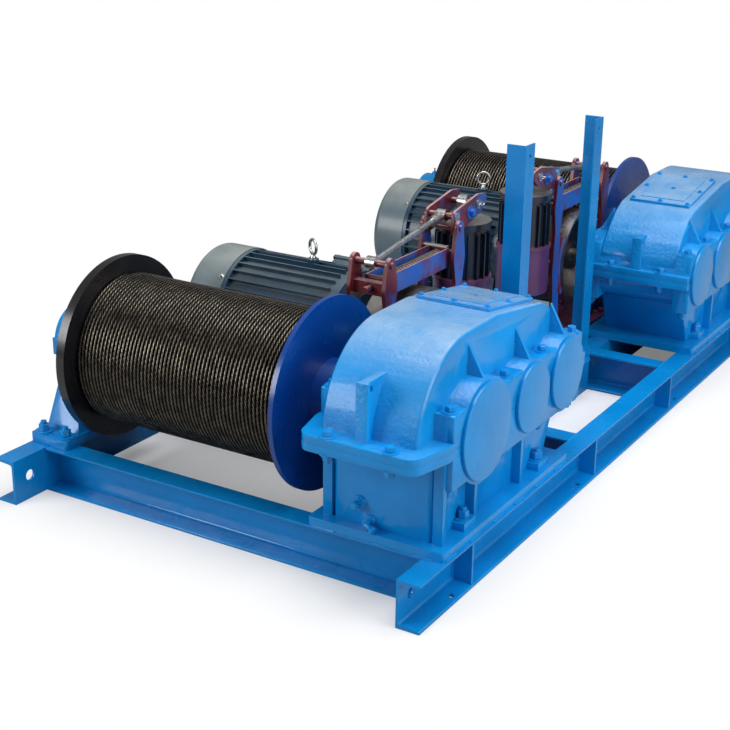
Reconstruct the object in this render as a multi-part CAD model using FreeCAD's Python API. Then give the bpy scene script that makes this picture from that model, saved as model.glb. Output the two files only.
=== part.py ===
import FreeCAD, Part
import math
import os

# Double-drum electric winch on one welded channel frame.
# Millimetres, +X along the drum axes towards the gearboxes, +Y to the back, +Z up.
# The origin lies on the floor under the middle of the frame.
# Unit 1 is modelled at -Y, and unit 2 is its mirror image about the plane y = 0.

V = FreeCAD.Vector
X, Y, Z = V(1, 0, 0), V(0, 1, 0), V(0, 0, 1)

# Frame of rolled channels
RAIL_H = 160.0
RAIL_WEB = 9.0
RAIL_FLANGE = 81.0
RAIL_TIP_T = 9.0
RAIL_TAPER = 0.07
RAIL_ROOT_R = 10.0
RAIL_TOE_R = 4.0
RAIL_INNER_X = 756.0
RAIL_LENGTH = 3382.0
LIFT_HOLE_R = 20.0
LIFT_HOLE_INSET = 76.0
LIFT_HOLE_Z = 86.0
STIFFENER_T = 10.0
STIFFENER_SETBACK = 5.0
STIFFENERS_Y = (386.0, 1351.0)
FLOOR_BOLT_R = 11.0
FLOOR_BOLT_INSET = 26.0
FLOOR_BOLTS_Y = (498.0, 1451.0)
END_BEAM_INSET = 152.0
MID_BEAM_1_Y = -480.0
MID_BEAM_2_Y = 430.0
INNER_RAIL_X = 456.0

# Fits and running gaps
SEAT = 0.3
RUN_CLEARANCE = 0.4
END_PLAY = 6.0
ROOT = 1.0
PAST = 5.0

# Uprights of steel angle
POST_LEG = 75.0
POST_T = 7.0
POST_TOP = 1167.0
POST_X = 478.0
POST_Y = 350.0
POST_HOLE_R = 7.0
POST_HOLE_DROP = 42.0
POST_FOOT_EDGE = 8.0
POST_FOOT_T = 10.0

# Shafts: height, and the distances that place them
AXIS_Z = 495.0
MOTOR_Y = -681.0
HIGH_CENTRES = 268.0
LOW_CENTRES = 326.0
DRUM_SHAFT_R = 50.0
HS_SHAFT_R = 32.0
SHAFT_DEPTH = 60.0

# Drum with its wound rope
DRUM_BRAKE_GAP = 13.0
FLANGE_LEFT_X = -603.0
FLANGE_RIGHT_X = 257.0
FLANGE_T = 18.0
RIM_T = 34.0
RIM_WALL = 12.0
FLANGE_DEPTH = 75.0
BARREL_WALL = 16.0
ROPE_D = 16.0
ROPE_END_GAP = 2.0
DRUM_HUB_R = 95.0
DRUM_HUB_L = 26.0
DRUM_RIBS = 8
DRUM_RIB_T = 12.0
DRUM_RIB_H = 14.0
COUPLING_R = 118.0
COUPLING_L = 58.0
COUPLING_STEP_R = 90.0
COUPLING_STEP_L = 22.0
COUPLING_EDGE = 5.0

# Pedestal bearing at the drum's free end
PED_X0 = -837.0
PED_X1 = -668.0
PED_BASE_T = 35.0
PED_BASE_LEN = 490.0
PED_BASE_CORNER = 14.0
PED_RING_R = 118.0
PED_RING_X0 = -815.0
PED_RING_W = 100.0
PED_FOOT_LEN = 340.0
PED_FOOT_W = 146.0
PED_NECK_LEN = 200.0
PED_NECK_W = 60.0
PED_NECK_Z = 425.0
PED_EAR = 28.0
PED_EAR_T = 30.0
PED_EAR_W = 64.0
PED_BOLT_R = 11.0
PED_BOLT_INSET = 34.0
PED_SEAL_R = 80.0
PED_SEAL_T = 10.0
GREASE_BOSS_R = 13.0
GREASE_BOSS_H = 12.0

# Reduction gearbox, placed from its three shafts
BOX_X = 586.0
BED_X0 = 345.0
BED_X1 = 826.0
BED_FRONT = 259.0
BED_END = 41.0
BED_T = 30.0
BED_CORNER = 10.0
HOUSE_HALF = 179.0
HOUSE_FRONT = 218.0
HOUSE_END = 81.0
HOUSE_TOE = 41.0
HOUSE_CORNER_R = 28.0
FOOT_T = 26.0
FOOT_REACH = 222.0
FOOT_HALF = 38.0
FOOT_BOLT_R = 11.0
FOOT_BOLT_INSET = 25.0
FOOT_FRONT = 58.0
FOOT_END = 121.0
FLANGE_T_LOW = 25.0
FLANGE_T_HIGH = 27.0
SPLIT_FLANGE_FRONT = 377.0
SPLIT_FLANGE_END = 161.0
SPLIT_FLANGE_HALF = 196.0
SPLIT_FLANGE_SHOULDER = 150.0
SPLIT_FLANGE_CORNER = 46.0
BOSS_HALF = 231.0
LOW_BOSS_R = 168.0
MID_BOSS_R = 128.0
HIGH_BOSS_R = 135.0
COVER_LIP = 11.0
COVER_STEP = 11.0
COVER_PLATE_T = 12.0
COVER_PLATE_EDGE = 2.0
HOOD_HALF = 165.0
HOOD_R = 305.0
HOOD_SHOULDER = 190.0
HOOD_SHOULDER_Z = 800.0
HOOD_END = 69.0
HOOD_END_Z = 749.0
HOOD_TOE = 125.0
HOOD_TOE_Z = 565.0
HOOD_BULGE = 26.0
HOOD_EDGE_R = 12.0
COLUMN_R = 30.0
COLUMN_TOP = 111.0
COLUMN_LOW = 131.0
COLUMN_BOLT_R = 9.0
COLUMN_FRONT = 175.0
COLUMN_END = 101.0
COLUMN_PAD_T = 6.0
RIB_T = 26.0
GUSSET_T = 12.0
GUSSET_RISE = 100.0
HATCH_X0 = 457.0
HATCH_X1 = 717.0
HATCH_T = 12.0
HATCH_LIP = 6.0
HATCH_PANEL_T = 4.0
HATCH_PANEL_INSET = 36.0
VENT_R = 10.0
LUG_T = 26.0
LUG_STRIP_W = 40.0
LUG_STRIP_T = 14.0
LUG_HOLE_R = 11.0
LUG_HOLE_INSET = 30.0
LUG_HOLE_DROP = 26.0
LUG_SETBACK = 36.0
LUG_1_H = 184.0
LUG_2_H = 130.0
LUG_SETBACK_2 = 14.0
OIL_GAUGE_X = 509.0
OIL_GAUGE_Z = 263.0
OIL_GAUGE_R = 24.0
DRAIN_X = 548.0
DRAIN_Z = 214.0
DRAIN_R = 17.0
PAD_T = 10.0

# Motor
MOTOR_FAN_X = -630.0
MOTOR_RING_X = -480.0
MOTOR_BODY_X1 = -30.0
MOTOR_BELL_X1 = 72.0
MOTOR_FAN_R = 228.0
MOTOR_BODY_R = 206.0
MOTOR_FIN_R = 224.0
MOTOR_FIN_T = 5.0
MOTOR_FINS = 36
MOTOR_FIN_SETBACK = 14.0
MOTOR_BELL_R = 214.0
MOTOR_BELL_RIM = 26.0
MOTOR_BELL_WAIST_R = 150.0
MOTOR_NOSE_R = 96.0
MOTOR_NOSE_L = 34.0
MOTOR_BELL_RIBS = 8
MOTOR_BELL_RIB_T = 10.0
MOTOR_FOOT_Z = 270.0
MOTOR_FOOT_T = 22.0
MOTOR_FOOT_Y = 178.0
MOTOR_FOOT_W = 84.0
MOTOR_FOOT_X0 = -430.0
MOTOR_FOOT_X1 = -38.0
MOTOR_FOOT_RIB_T = 22.0
MOTOR_FOOT_BOLT_R = 10.0
MOTOR_FOOT_BOLT_INSET = 40.0
MOTOR_SHAFT_R = 30.0
TERMINAL_X0 = -260.0
TERMINAL_X1 = -90.0
TERMINAL_W = 130.0
TERMINAL_REACH = 306.0
TERMINAL_LID_T = 14.0
TERMINAL_LID_LIP = 7.0
TERMINAL_ANGLE = -68.0
EYE_PAD_X = -198.0
EYE_PAD_R = 22.0
EYE_PAD_H = 12.0
SHIELD_T = 16.0
SHIELD_SPIGOT = 14.0
COWL_T = 3.0
COWL_CORNER = 26.0
GRILLE_ROWS = 4
GRILLE_R0 = 58.0
GRILLE_SLOT = 20.0
GRILLE_RING = 14.0
GRILLE_SPOKES = 8
GRILLE_SPOKE_W = 12.0
FAN_R = 190.0
FAN_BLADES = 7
FAN_BLADE_T = 6.0
FAN_W = 70.0
FAN_HUB_R = 52.0
FAN_GAP = 26.0
PLINTH_W = 96.0
PLINTH_T = 8.0
PLINTH_END = 10.0

# Drum brake on the high-speed shaft
BRAKE_X = 200.0
WHEEL_R = 200.0
WHEEL_W = 170.0
WHEEL_RIM = 14.0
WHEEL_DISC = 16.0
WHEEL_HUB_R = 62.0
WHEEL_HUB_L = 96.0
SHOE_T = 22.0
SHOE_GAP = 0.3
SHOE_HALF_ANGLE = 35.0
SHOE_INSET = 8.0
SHOE_LUG_L = 38.0
SHOE_LUG_H = 60.0
ARM_T = 14.0
ARM_FOOT_R = 28.0
ARM_KNEE_R = 32.0
ARM_NECK_R = 24.0
ARM_SHOULDER_R = 42.0
ARM_TOP_R = 26.0
ARM_NECK_Z = 660.0
ARM_GAP = 124.0
ARM_FOOT_REACH = 215.0
ARM_FOOT_Z = 232.0
ARM_KNEE_REACH = 245.0
ARM_TOP_REACH = 243.0
FRONT_PIN_Z = 838.0
REAR_PIN_Z = 862.0
PIN_R = 12.0
PIN_HEAD = 6.0
SPRING_Z = 752.0
SPRING_R = 24.0
SPRING_CASE_H = 70.0
SPRING_CASE_W = 84.0
SPRING_CASE_T = 5.0
SPRING_BLOCK_T = 32.0
SPRING_BLOCK_H = 44.0
SPRING_PLAY = 8.0
SPRING_ROD_TAIL = 34.0
LEVER_T = 10.0
LEVER_PLAY = 2.0
LEVER_TIE_RISE = 38.0
LEVER_HEEL_R = 24.0
LEVER_PIVOT_R = 30.0
LEVER_END_R = 38.0
LEVER_TIP_R = 20.0
LEVER_PIN_REACH = 412.0
LEVER_PIN_RISE = 53.0
LEVER_TIP = 44.0
LEVER_TIP_RISE = 12.0
TIE_ROD_R = 11.0
TIE_EYE_R = 22.0
TIE_EYE_W = 36.0
TIE_NUT_R = 19.0
TIE_NUT_L = 52.0
EYE_PLAY = 3.6
THRUSTER_R = 105.0
THRUSTER_BODY_R = 91.0
THRUSTER_RIBS = 18
THRUSTER_RIB_T = 6.0
THRUSTER_CAP_H = 24.0
THRUSTER_CAP_GAP = 16.0
THRUSTER_BASE_H = 18.0
THRUSTER_LUG_W = 40.0
THRUSTER_LUG_R = 24.0
THRUSTER_Z0 = 440.0
THRUSTER_Z1 = 850.0
THRUSTER_FOOT_Z = 400.0
THRUSTER_ROD_R = 14.0
THRUSTER_ROD_SINK = 80.0
THRUSTER_EYE_R = 28.0
BRAKE_BASE_T = 16.0
BRAKE_PLATE_W = 230.0
BRAKE_PLATE_END = 60.0
BRAKE_EAR_R = 26.0
CHEEK_T = 14.0
CHEEK_GAP = 3.0
CHEEK_FOOT = 62.0
CHEEK_WINDOW_R = 14.0
CHEEK_WINDOW_L = 56.0

# Values that follow
RAIL_END_Y = RAIL_LENGTH / 2
RAIL_ROOT_T = RAIL_TIP_T + RAIL_TAPER * (RAIL_FLANGE - RAIL_WEB)
END_BEAM_EDGE_Y = RAIL_END_Y - END_BEAM_INSET
BED_TOP = RAIL_H + BED_T
INTER_Y = MOTOR_Y - HIGH_CENTRES
DRUM_Y = INTER_Y - LOW_CENTRES
SHOE_BACK = WHEEL_R + SHOE_GAP + SHOE_T
FLANGE_R = MOTOR_Y - SHOE_BACK - SHOE_LUG_L + ROOT - DRUM_BRAKE_GAP - DRUM_Y
BARREL_R = FLANGE_R - FLANGE_DEPTH
ROPE_R = BARREL_R + ROPE_D
BOX_DRUM_SIDE = BOX_X - BOSS_HALF
LEVER_TIE_Z = REAR_PIN_Z + LEVER_TIE_RISE
LEVER_PIN_Z = REAR_PIN_Z + LEVER_PIN_RISE
BED_Y0 = DRUM_Y - BED_FRONT
BED_Y1 = MOTOR_Y + BED_END
SPLIT_LOW_Z = AXIS_Z - FLANGE_T_LOW
SPLIT_HIGH_Z = AXIS_Z + FLANGE_T_HIGH
SPLIT_Y0 = DRUM_Y - SPLIT_FLANGE_FRONT
SPLIT_Y1 = MOTOR_Y + SPLIT_FLANGE_END
SHAFTS = ((DRUM_Y, LOW_BOSS_R), (INTER_Y, MID_BOSS_R), (MOTOR_Y, HIGH_BOSS_R))
COLUMN_X = BOSS_HALF - COLUMN_R
COLUMNS_Y = (DRUM_Y - COLUMN_FRONT, (DRUM_Y + LOW_BOSS_R + INTER_Y - MID_BOSS_R) / 2, (INTER_Y + MOTOR_Y) / 2,
             MOTOR_Y + COLUMN_END)


# Shapes

def box(x0, x1, y0, y1, z0, z1):
    return Part.makeBox(x1 - x0, y1 - y0, z1 - z0, V(x0, y0, z0))


def cylinder(radius, start, end):
    line = end - start
    return Part.makeCylinder(radius, line.Length, start, line)


def x_cylinder(radius, x0, x1, y, z):
    return Part.makeCylinder(radius, x1 - x0, V(x0, y, z), X)


def z_cylinder(radius, x, y, z0, z1):
    return Part.makeCylinder(radius, z1 - z0, V(x, y, z0), Z)


def polygon(points):
    return Part.Face(Part.makePolygon(points + points[:1]))


def yz_prism(outline, x0, x1):
    """A plate of the given (y, z) outline between two x planes."""
    return polygon([V(x0, y, z) for y, z in outline]).extrude(V(x1 - x0, 0, 0))


def xz_prism(outline, y0, y1):
    return polygon([V(x, y0, z) for x, z in outline]).extrude(V(0, y1 - y0, 0))


def xy_prism(outline, z0, z1):
    return polygon([V(x, y, z0) for x, y in outline]).extrude(V(0, 0, z1 - z0))


def turned(profile, y, z):
    """Solid turned about the line through (y, z) along X, from its (x, radius) outline."""
    face = polygon([V(x, y, z + r) for x, r in profile])
    return face.revolve(V(0, y, z), X, 360)


def fuse(shapes):
    return shapes[0].multiFuse(shapes[1:]).removeSplitter()


def cut(shape, tools):
    for tool in tools:
        shape = shape.cut(tool)
    return shape


def group(shapes):
    return Part.makeCompound(shapes)


def mirrored(shape):
    return shape.mirror(V(0, 0, 0), Y)


def upright_edges(shape, places):
    """The edges along Z that stand at the given (x, y) places."""
    found = []
    for edge in shape.Edges:
        a, b = edge.Vertexes[0].Point, edge.Vertexes[-1].Point
        if abs(a.z - b.z) > 1 and any(math.hypot(p.x - x, p.y - y) < 0.1
                                      for x, y in places for p in (edge.CenterOfMass,)):
            found.append(edge)
    return found


def link(a, radius_a, b, radius_b, x0, x1):
    """Flat link between two x planes: round ends at the (y, z) points a and b, and their tangents."""
    along = math.atan2(b[1] - a[1], b[0] - a[0])
    length = math.hypot(b[0] - a[0], b[1] - a[1])
    lean = math.acos((radius_a - radius_b) / length)
    outline = [(c[0] + r * math.cos(along + turn), c[1] + r * math.sin(along + turn))
               for c, r, turn in ((a, radius_a, -lean), (b, radius_b, -lean),
                                  (b, radius_b, lean), (a, radius_a, lean))]
    return [yz_prism(outline, x0, x1), x_cylinder(radius_a, x0, x1, *a), x_cylinder(radius_b, x0, x1, *b)]


# Frame

def channel(length):
    """Rolled channel along +Y: back of the web on x = 0, tapered flanges towards +X, feet on z = 0."""
    outline = [
        (0, 0), (RAIL_FLANGE, 0), (RAIL_FLANGE, RAIL_TIP_T), (RAIL_WEB, RAIL_ROOT_T),
        (RAIL_WEB, RAIL_H - RAIL_ROOT_T), (RAIL_FLANGE, RAIL_H - RAIL_TIP_T), (RAIL_FLANGE, RAIL_H),
        (0, RAIL_H),
    ]
    bar = xz_prism(outline, 0, length)
    rows = ((RAIL_WEB, RAIL_ROOT_T, RAIL_ROOT_R), (RAIL_FLANGE, RAIL_TIP_T, RAIL_TOE_R))
    for corner_x, inset, radius in rows:
        edges = [e for e in bar.Edges
                 if abs(e.CenterOfMass.x - corner_x) < 0.1 and abs(e.CenterOfMass.y - length / 2) < 0.1
                 and min(abs(e.CenterOfMass.z - inset), abs(e.CenterOfMass.z - RAIL_H + inset)) < 0.1]
        bar = bar.makeFillet(radius, edges)
    return bar


def channel_y(x, facing, y0, y1):
    """Channel along Y with the back of its web on x, open towards facing (+1 or -1 along X)."""
    bar = channel(y1 - y0)
    if facing < 0:
        bar = bar.mirror(V(0, 0, 0), X)
    return bar.translate(V(x, y0, 0))


def channel_x(y, facing, x0, x1):
    """Channel along X with the back of its web on y, open towards facing (+1 or -1 along Y)."""
    bar = channel(x1 - x0)
    bar.rotate(V(0, 0, 0), Z, -90)
    if facing > 0:
        bar = mirrored(bar)
    return bar.translate(V(x0, y, 0))


def rail(side):
    """Long rail with lifting holes, floor bolt holes and stiffeners in its open side."""
    parts = [channel_y(RAIL_INNER_X, 1, -RAIL_END_Y, RAIL_END_Y)]
    holes = []
    for end in (-1, 1):
        for y in STIFFENERS_Y:
            parts.append(box(RAIL_INNER_X + RAIL_WEB - ROOT, RAIL_INNER_X + RAIL_FLANGE - STIFFENER_SETBACK,
                             end * y - STIFFENER_T / 2, end * y + STIFFENER_T / 2,
                             RAIL_TIP_T - ROOT, RAIL_H - RAIL_TIP_T + ROOT))
        holes.append(x_cylinder(LIFT_HOLE_R, RAIL_INNER_X - PAST, RAIL_INNER_X + RAIL_WEB + PAST,
                                end * (RAIL_END_Y - LIFT_HOLE_INSET), LIFT_HOLE_Z))
        for y in FLOOR_BOLTS_Y:
            holes.append(z_cylinder(FLOOR_BOLT_R, RAIL_INNER_X + RAIL_FLANGE - FLOOR_BOLT_INSET,
                                    end * y, -PAST, RAIL_ROOT_T + PAST))
    bar = cut(fuse(parts), holes)
    if side < 0:
        bar = bar.mirror(V(0, 0, 0), X)
    return bar


def cross_beams():
    """Cross-beams butt against the backs of the two rails."""
    x0 = -RAIL_INNER_X
    x1 = RAIL_INNER_X
    return {
        "crossbeam_front": channel_x(-END_BEAM_EDGE_Y + RAIL_FLANGE, -1, x0, x1),
        "crossbeam_rear": channel_x(END_BEAM_EDGE_Y - RAIL_FLANGE, 1, x0, x1),
        "crossbeam_middle_1": channel_x(MID_BEAM_1_Y + RAIL_FLANGE, -1, x0, x1),
        "crossbeam_middle_2": channel_x(MID_BEAM_2_Y + RAIL_FLANGE, -1, x0, x1),
    }


def inner_rails():
    """Lengthwise channels between the cross-beams, under the inner edge of the gearbox beds."""
    end = END_BEAM_EDGE_Y - RAIL_FLANGE
    return group([
        channel_y(INNER_RAIL_X, -1, -end, MID_BEAM_1_Y),
        channel_y(INNER_RAIL_X, -1, MID_BEAM_1_Y + RAIL_FLANGE, MID_BEAM_2_Y),
        channel_y(INNER_RAIL_X, -1, MID_BEAM_2_Y + RAIL_FLANGE, end),
    ])


def post(side):
    """Angle upright on a foot plate, its corner turned away from the middle of the winch."""
    x = POST_X
    y = POST_Y
    z0 = RAIL_H + POST_FOOT_T
    edge = POST_FOOT_EDGE
    upright = fuse([
        box(x - POST_LEG, x, y - POST_T, y, z0, POST_TOP),
        box(x - POST_T, x, y - POST_LEG, y, z0, POST_TOP),
        box(x - POST_LEG - edge, x + edge, y - POST_LEG - edge, y + edge, RAIL_H, z0 + ROOT),
    ])
    hole = x_cylinder(POST_HOLE_R, x - 2 * POST_T, x + POST_T, y - POST_LEG / 2, POST_TOP - POST_HOLE_DROP)
    upright = upright.cut(hole)
    return mirrored(upright) if side < 0 else upright


# Drum

def drum():
    """Barrel, two flanges, ribbed hub, shaft and the stepped coupling half beside the gearbox."""
    left = FLANGE_LEFT_X
    right = FLANGE_RIGHT_X
    coupling_x = right + COUPLING_L
    edge = COUPLING_EDGE
    hollow = BARREL_R - BARREL_WALL
    outline = [
        (PED_RING_X0 - PED_SEAL_T, 0), (PED_RING_X0 - PED_SEAL_T, DRUM_SHAFT_R),
        (left - DRUM_HUB_L, DRUM_SHAFT_R), (left - DRUM_HUB_L, DRUM_HUB_R), (left, DRUM_HUB_R),
        (left, FLANGE_R - RIM_WALL), (left + FLANGE_T - RIM_T, FLANGE_R - RIM_WALL),
        (left + FLANGE_T - RIM_T, FLANGE_R), (left + FLANGE_T, FLANGE_R), (left + FLANGE_T, BARREL_R),
        (right - FLANGE_T, BARREL_R), (right - FLANGE_T, FLANGE_R), (right, FLANGE_R), (right, COUPLING_R),
        (coupling_x - edge, COUPLING_R), (coupling_x, COUPLING_R - edge), (coupling_x, COUPLING_STEP_R),
        (coupling_x + COUPLING_STEP_L, COUPLING_STEP_R), (coupling_x + COUPLING_STEP_L, DRUM_SHAFT_R),
        (BOX_DRUM_SIDE + SHAFT_DEPTH, DRUM_SHAFT_R), (BOX_DRUM_SIDE + SHAFT_DEPTH, 0),
    ]
    inside = [(left + FLANGE_T, DRUM_SHAFT_R), (left + FLANGE_T, hollow),
              (right - FLANGE_T, hollow), (right - FLANGE_T, DRUM_SHAFT_R)]
    body = turned(outline, DRUM_Y, AXIS_Z).cut(turned(inside, DRUM_Y, AXIS_Z))
    ribs = []
    for i in range(DRUM_RIBS):
        rib = box(left - DRUM_RIB_H, left + ROOT, DRUM_Y - DRUM_RIB_T / 2, DRUM_Y + DRUM_RIB_T / 2,
                  AXIS_Z + DRUM_HUB_R - ROOT, AXIS_Z + FLANGE_R - RIM_WALL + ROOT)
        rib.rotate(V(0, DRUM_Y, AXIS_Z), X, 360.0 * i / DRUM_RIBS)
        ribs.append(rib)
    return fuse([body] + ribs)


def rope_winding():
    """The outer layer of rope, wound from flange to flange."""
    x0 = FLANGE_LEFT_X + FLANGE_T + ROPE_END_GAP
    x1 = FLANGE_RIGHT_X - FLANGE_T - ROPE_END_GAP
    outer = x_cylinder(ROPE_R, x0, x1, DRUM_Y, AXIS_Z)
    return outer.cut(x_cylinder(BARREL_R + SEAT, x0, x1, DRUM_Y, AXIS_Z))


# Pedestal bearing

def pedestal():
    """Cast pedestal: broad base, neck that narrows both ways, and the lower half of the bearing ring."""
    base_z = RAIL_H + PED_BASE_T
    middle_x = (PED_X0 + PED_X1) / 2
    ring_x = PED_RING_X0 + PED_RING_W / 2
    half_len = PED_BASE_LEN / 2
    base = box(PED_X0, PED_X1, DRUM_Y - half_len, DRUM_Y + half_len, RAIL_H, base_z)
    corners = [(x, DRUM_Y + end * half_len) for x in (PED_X0, PED_X1) for end in (-1, 1)]
    base = base.makeFillet(PED_BASE_CORNER, upright_edges(base, corners))

    def section(x, width, length, z):
        return Part.makePolygon([V(x + i * width / 2, DRUM_Y + j * length / 2, z)
                                 for i, j in ((-1, -1), (1, -1), (1, 1), (-1, 1), (-1, -1))])

    neck = Part.makeLoft([section(middle_x, PED_FOOT_W, PED_FOOT_LEN, base_z - ROOT),
                          section(ring_x, PED_NECK_W, PED_NECK_LEN, PED_NECK_Z)], True, True)
    ring = x_cylinder(PED_RING_R, PED_RING_X0, PED_RING_X0 + PED_RING_W, DRUM_Y, AXIS_Z)
    ears = box(ring_x - PED_EAR_W / 2, ring_x + PED_EAR_W / 2, DRUM_Y - PED_RING_R - PED_EAR,
               DRUM_Y + PED_RING_R + PED_EAR, AXIS_Z - PED_EAR_T, AXIS_Z)
    keep = box(PED_X0, PED_X1, DRUM_Y - half_len, DRUM_Y + half_len, RAIL_H, AXIS_Z)
    foot = fuse([base, neck, ring, ears]).common(keep)
    tools = [x_cylinder(DRUM_SHAFT_R + RUN_CLEARANCE, PED_X0 - PAST, PED_X1 + PAST, DRUM_Y, AXIS_Z)]
    for end in (-1, 1):
        for x in (PED_X0 + PED_BOLT_INSET, PED_X1 - PED_BOLT_INSET):
            tools.append(z_cylinder(PED_BOLT_R, x, DRUM_Y + end * (half_len - PED_BOLT_INSET),
                                    RAIL_H - PAST, base_z + PAST))
    return cut(foot, tools)


def pedestal_cap():
    """Upper half of the bearing ring with its ears, seal collar and grease boss."""
    x0 = PED_RING_X0
    x1 = x0 + PED_RING_W
    ring_x = (x0 + x1) / 2
    low = AXIS_Z + SEAT
    cap = fuse([
        x_cylinder(PED_RING_R, x0, x1, DRUM_Y, AXIS_Z),
        x_cylinder(PED_SEAL_R, x1 - ROOT, x1 + PED_SEAL_T, DRUM_Y, AXIS_Z),
        box(ring_x - PED_EAR_W / 2, ring_x + PED_EAR_W / 2, DRUM_Y - PED_RING_R - PED_EAR,
            DRUM_Y + PED_RING_R + PED_EAR, low, low + PED_EAR_T),
        z_cylinder(GREASE_BOSS_R, ring_x, DRUM_Y, AXIS_Z + PED_RING_R - GREASE_BOSS_R,
                   AXIS_Z + PED_RING_R + GREASE_BOSS_H),
    ])
    reach = PED_RING_R + PED_EAR
    keep = box(x0, x1 + PED_SEAL_T, DRUM_Y - reach, DRUM_Y + reach, low, low + 2 * reach)
    shaft = x_cylinder(DRUM_SHAFT_R + RUN_CLEARANCE, x0 - PAST, x1 + PED_SEAL_T + PAST, DRUM_Y, AXIS_Z)
    return cap.common(keep).cut(shaft)


# Gearbox

def gearbox_bed():
    """Thick base plate on the right rail, the inner rail and the end cross-beam."""
    plate = box(BED_X0, BED_X1, BED_Y0, BED_Y1, RAIL_H, BED_TOP)
    corners = [(x, y) for x in (BED_X0, BED_X1) for y in (BED_Y0, BED_Y1)]
    plate = plate.makeFillet(BED_CORNER, upright_edges(plate, corners))
    holes = [z_cylinder(FOOT_BOLT_R, x, y, RAIL_H - PAST, BED_TOP + PAST) for x, y in foot_bolts()]
    return cut(plate, holes)


def foot_bolts():
    """Where the gearbox is bolted to its bed."""
    reach = FOOT_REACH - FOOT_BOLT_INSET
    return [(BOX_X + side * reach, y) for side in (-1, 1) for y in (DRUM_Y - FOOT_FRONT, MOTOR_Y - FOOT_END)]


def split_flange(z0, z1):
    """One half of the joint flange: full width past the bearings, narrower and rounded at both ends."""
    wide = BOSS_HALF
    end = SPLIT_FLANGE_HALF
    step = SPLIT_FLANGE_SHOULDER
    outline = [
        (BOX_X - end, SPLIT_Y0), (BOX_X + end, SPLIT_Y0), (BOX_X + wide, SPLIT_Y0 + step),
        (BOX_X + wide, SPLIT_Y1), (BOX_X - wide, SPLIT_Y1), (BOX_X - wide, SPLIT_Y0 + step),
    ]
    plate = xy_prism(outline, z0, z1)
    return plate.makeFillet(SPLIT_FLANGE_CORNER, upright_edges(plate, outline[:2]))


def bearing_bosses():
    """The three round bosses that run across the housing on the shaft line."""
    return [x_cylinder(r, BOX_X - BOSS_HALF, BOX_X + BOSS_HALF, y, AXIS_Z) for y, r in SHAFTS]


def shaft_bores():
    """Blind bores on the drum side for the low-speed and the high-speed shaft."""
    depth = SHAFT_DEPTH + END_PLAY
    return [x_cylinder(r + RUN_CLEARANCE, BOX_DRUM_SIDE - PAST, BOX_DRUM_SIDE + depth, y, AXIS_Z)
            for y, r in ((DRUM_Y, DRUM_SHAFT_R), (MOTOR_Y, HS_SHAFT_R))]


def bolt_columns(z0, z1):
    """Round columns for the bearing bolts, joined to the housing by a web."""
    shapes = []
    for side in (-1, 1):
        x = BOX_X + side * COLUMN_X
        wall = BOX_X + side * (HOOD_HALF - ROOT)
        for y in COLUMNS_Y:
            shapes.append(z_cylinder(COLUMN_R, x, y, z0, z1))
            shapes.append(box(min(x, wall), max(x, wall), y - COLUMN_R, y + COLUMN_R, z0, z1))
    return shapes


def column_bolt_holes():
    """Through holes for the bearing bolts."""
    return [z_cylinder(COLUMN_BOLT_R, BOX_X + side * COLUMN_X, y, AXIS_Z - COLUMN_LOW - PAST,
                       AXIS_Z + COLUMN_TOP + 2 * PAST)
            for side in (-1, 1) for y in COLUMNS_Y]


def gearbox_base():
    """Lower casting: oil box with a sloping end, feet, ribs, half bosses and the joint flange."""
    z0 = BED_TOP
    front = DRUM_Y - HOUSE_FRONT
    end = MOTOR_Y + HOUSE_END
    toe = MOTOR_Y - HOUSE_TOE
    low = SPLIT_LOW_Z + ROOT
    house = yz_prism([(front, z0), (front, low), (end, low), (toe, z0)], BOX_X - HOUSE_HALF, BOX_X + HOUSE_HALF)
    corners = [(BOX_X - HOUSE_HALF, front), (BOX_X + HOUSE_HALF, front)]
    house = house.makeFillet(HOUSE_CORNER_R, upright_edges(house, corners))
    shapes = [house, split_flange(SPLIT_LOW_Z, AXIS_Z)] + bearing_bosses()
    shapes += bolt_columns(AXIS_Z - COLUMN_LOW, AXIS_Z)
    for side in (-1, 1):
        wall = BOX_X + side * (HOUSE_HALF - ROOT)
        foot = BOX_X + side * FOOT_REACH
        rib = BOX_X + side * (FOOT_REACH - COVER_STEP)
        for y in (DRUM_Y - FOOT_FRONT, MOTOR_Y - FOOT_END):
            shapes.append(box(min(wall, foot), max(wall, foot), y - FOOT_HALF, y + FOOT_HALF, z0, z0 + FOOT_T))
        for y, _ in SHAFTS[:2]:
            shapes.append(box(min(wall, rib), max(wall, rib), y - RIB_T / 2, y + RIB_T / 2, z0, SPLIT_LOW_Z))
        shapes.append(box(min(wall, rib), max(wall, rib), front, front + RIB_T, z0, SPLIT_LOW_Z))
    for radius, x, z in ((OIL_GAUGE_R, OIL_GAUGE_X, OIL_GAUGE_Z), (DRAIN_R, DRAIN_X, DRAIN_Z)):
        shapes.append(cylinder(radius, V(x, front - PAD_T, z), V(x, front + ROOT, z)))
    casting = fuse(shapes)
    keep = box(BOX_X - 2 * BOSS_HALF, BOX_X + 2 * BOSS_HALF, SPLIT_Y0, SPLIT_Y1, z0, AXIS_Z)
    holes = [z_cylinder(FOOT_BOLT_R, x, y, z0 - PAST, z0 + FOOT_T + PAST) for x, y in foot_bolts()]
    return cut(casting.common(keep), shaft_bores() + column_bolt_holes() + holes)


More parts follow.
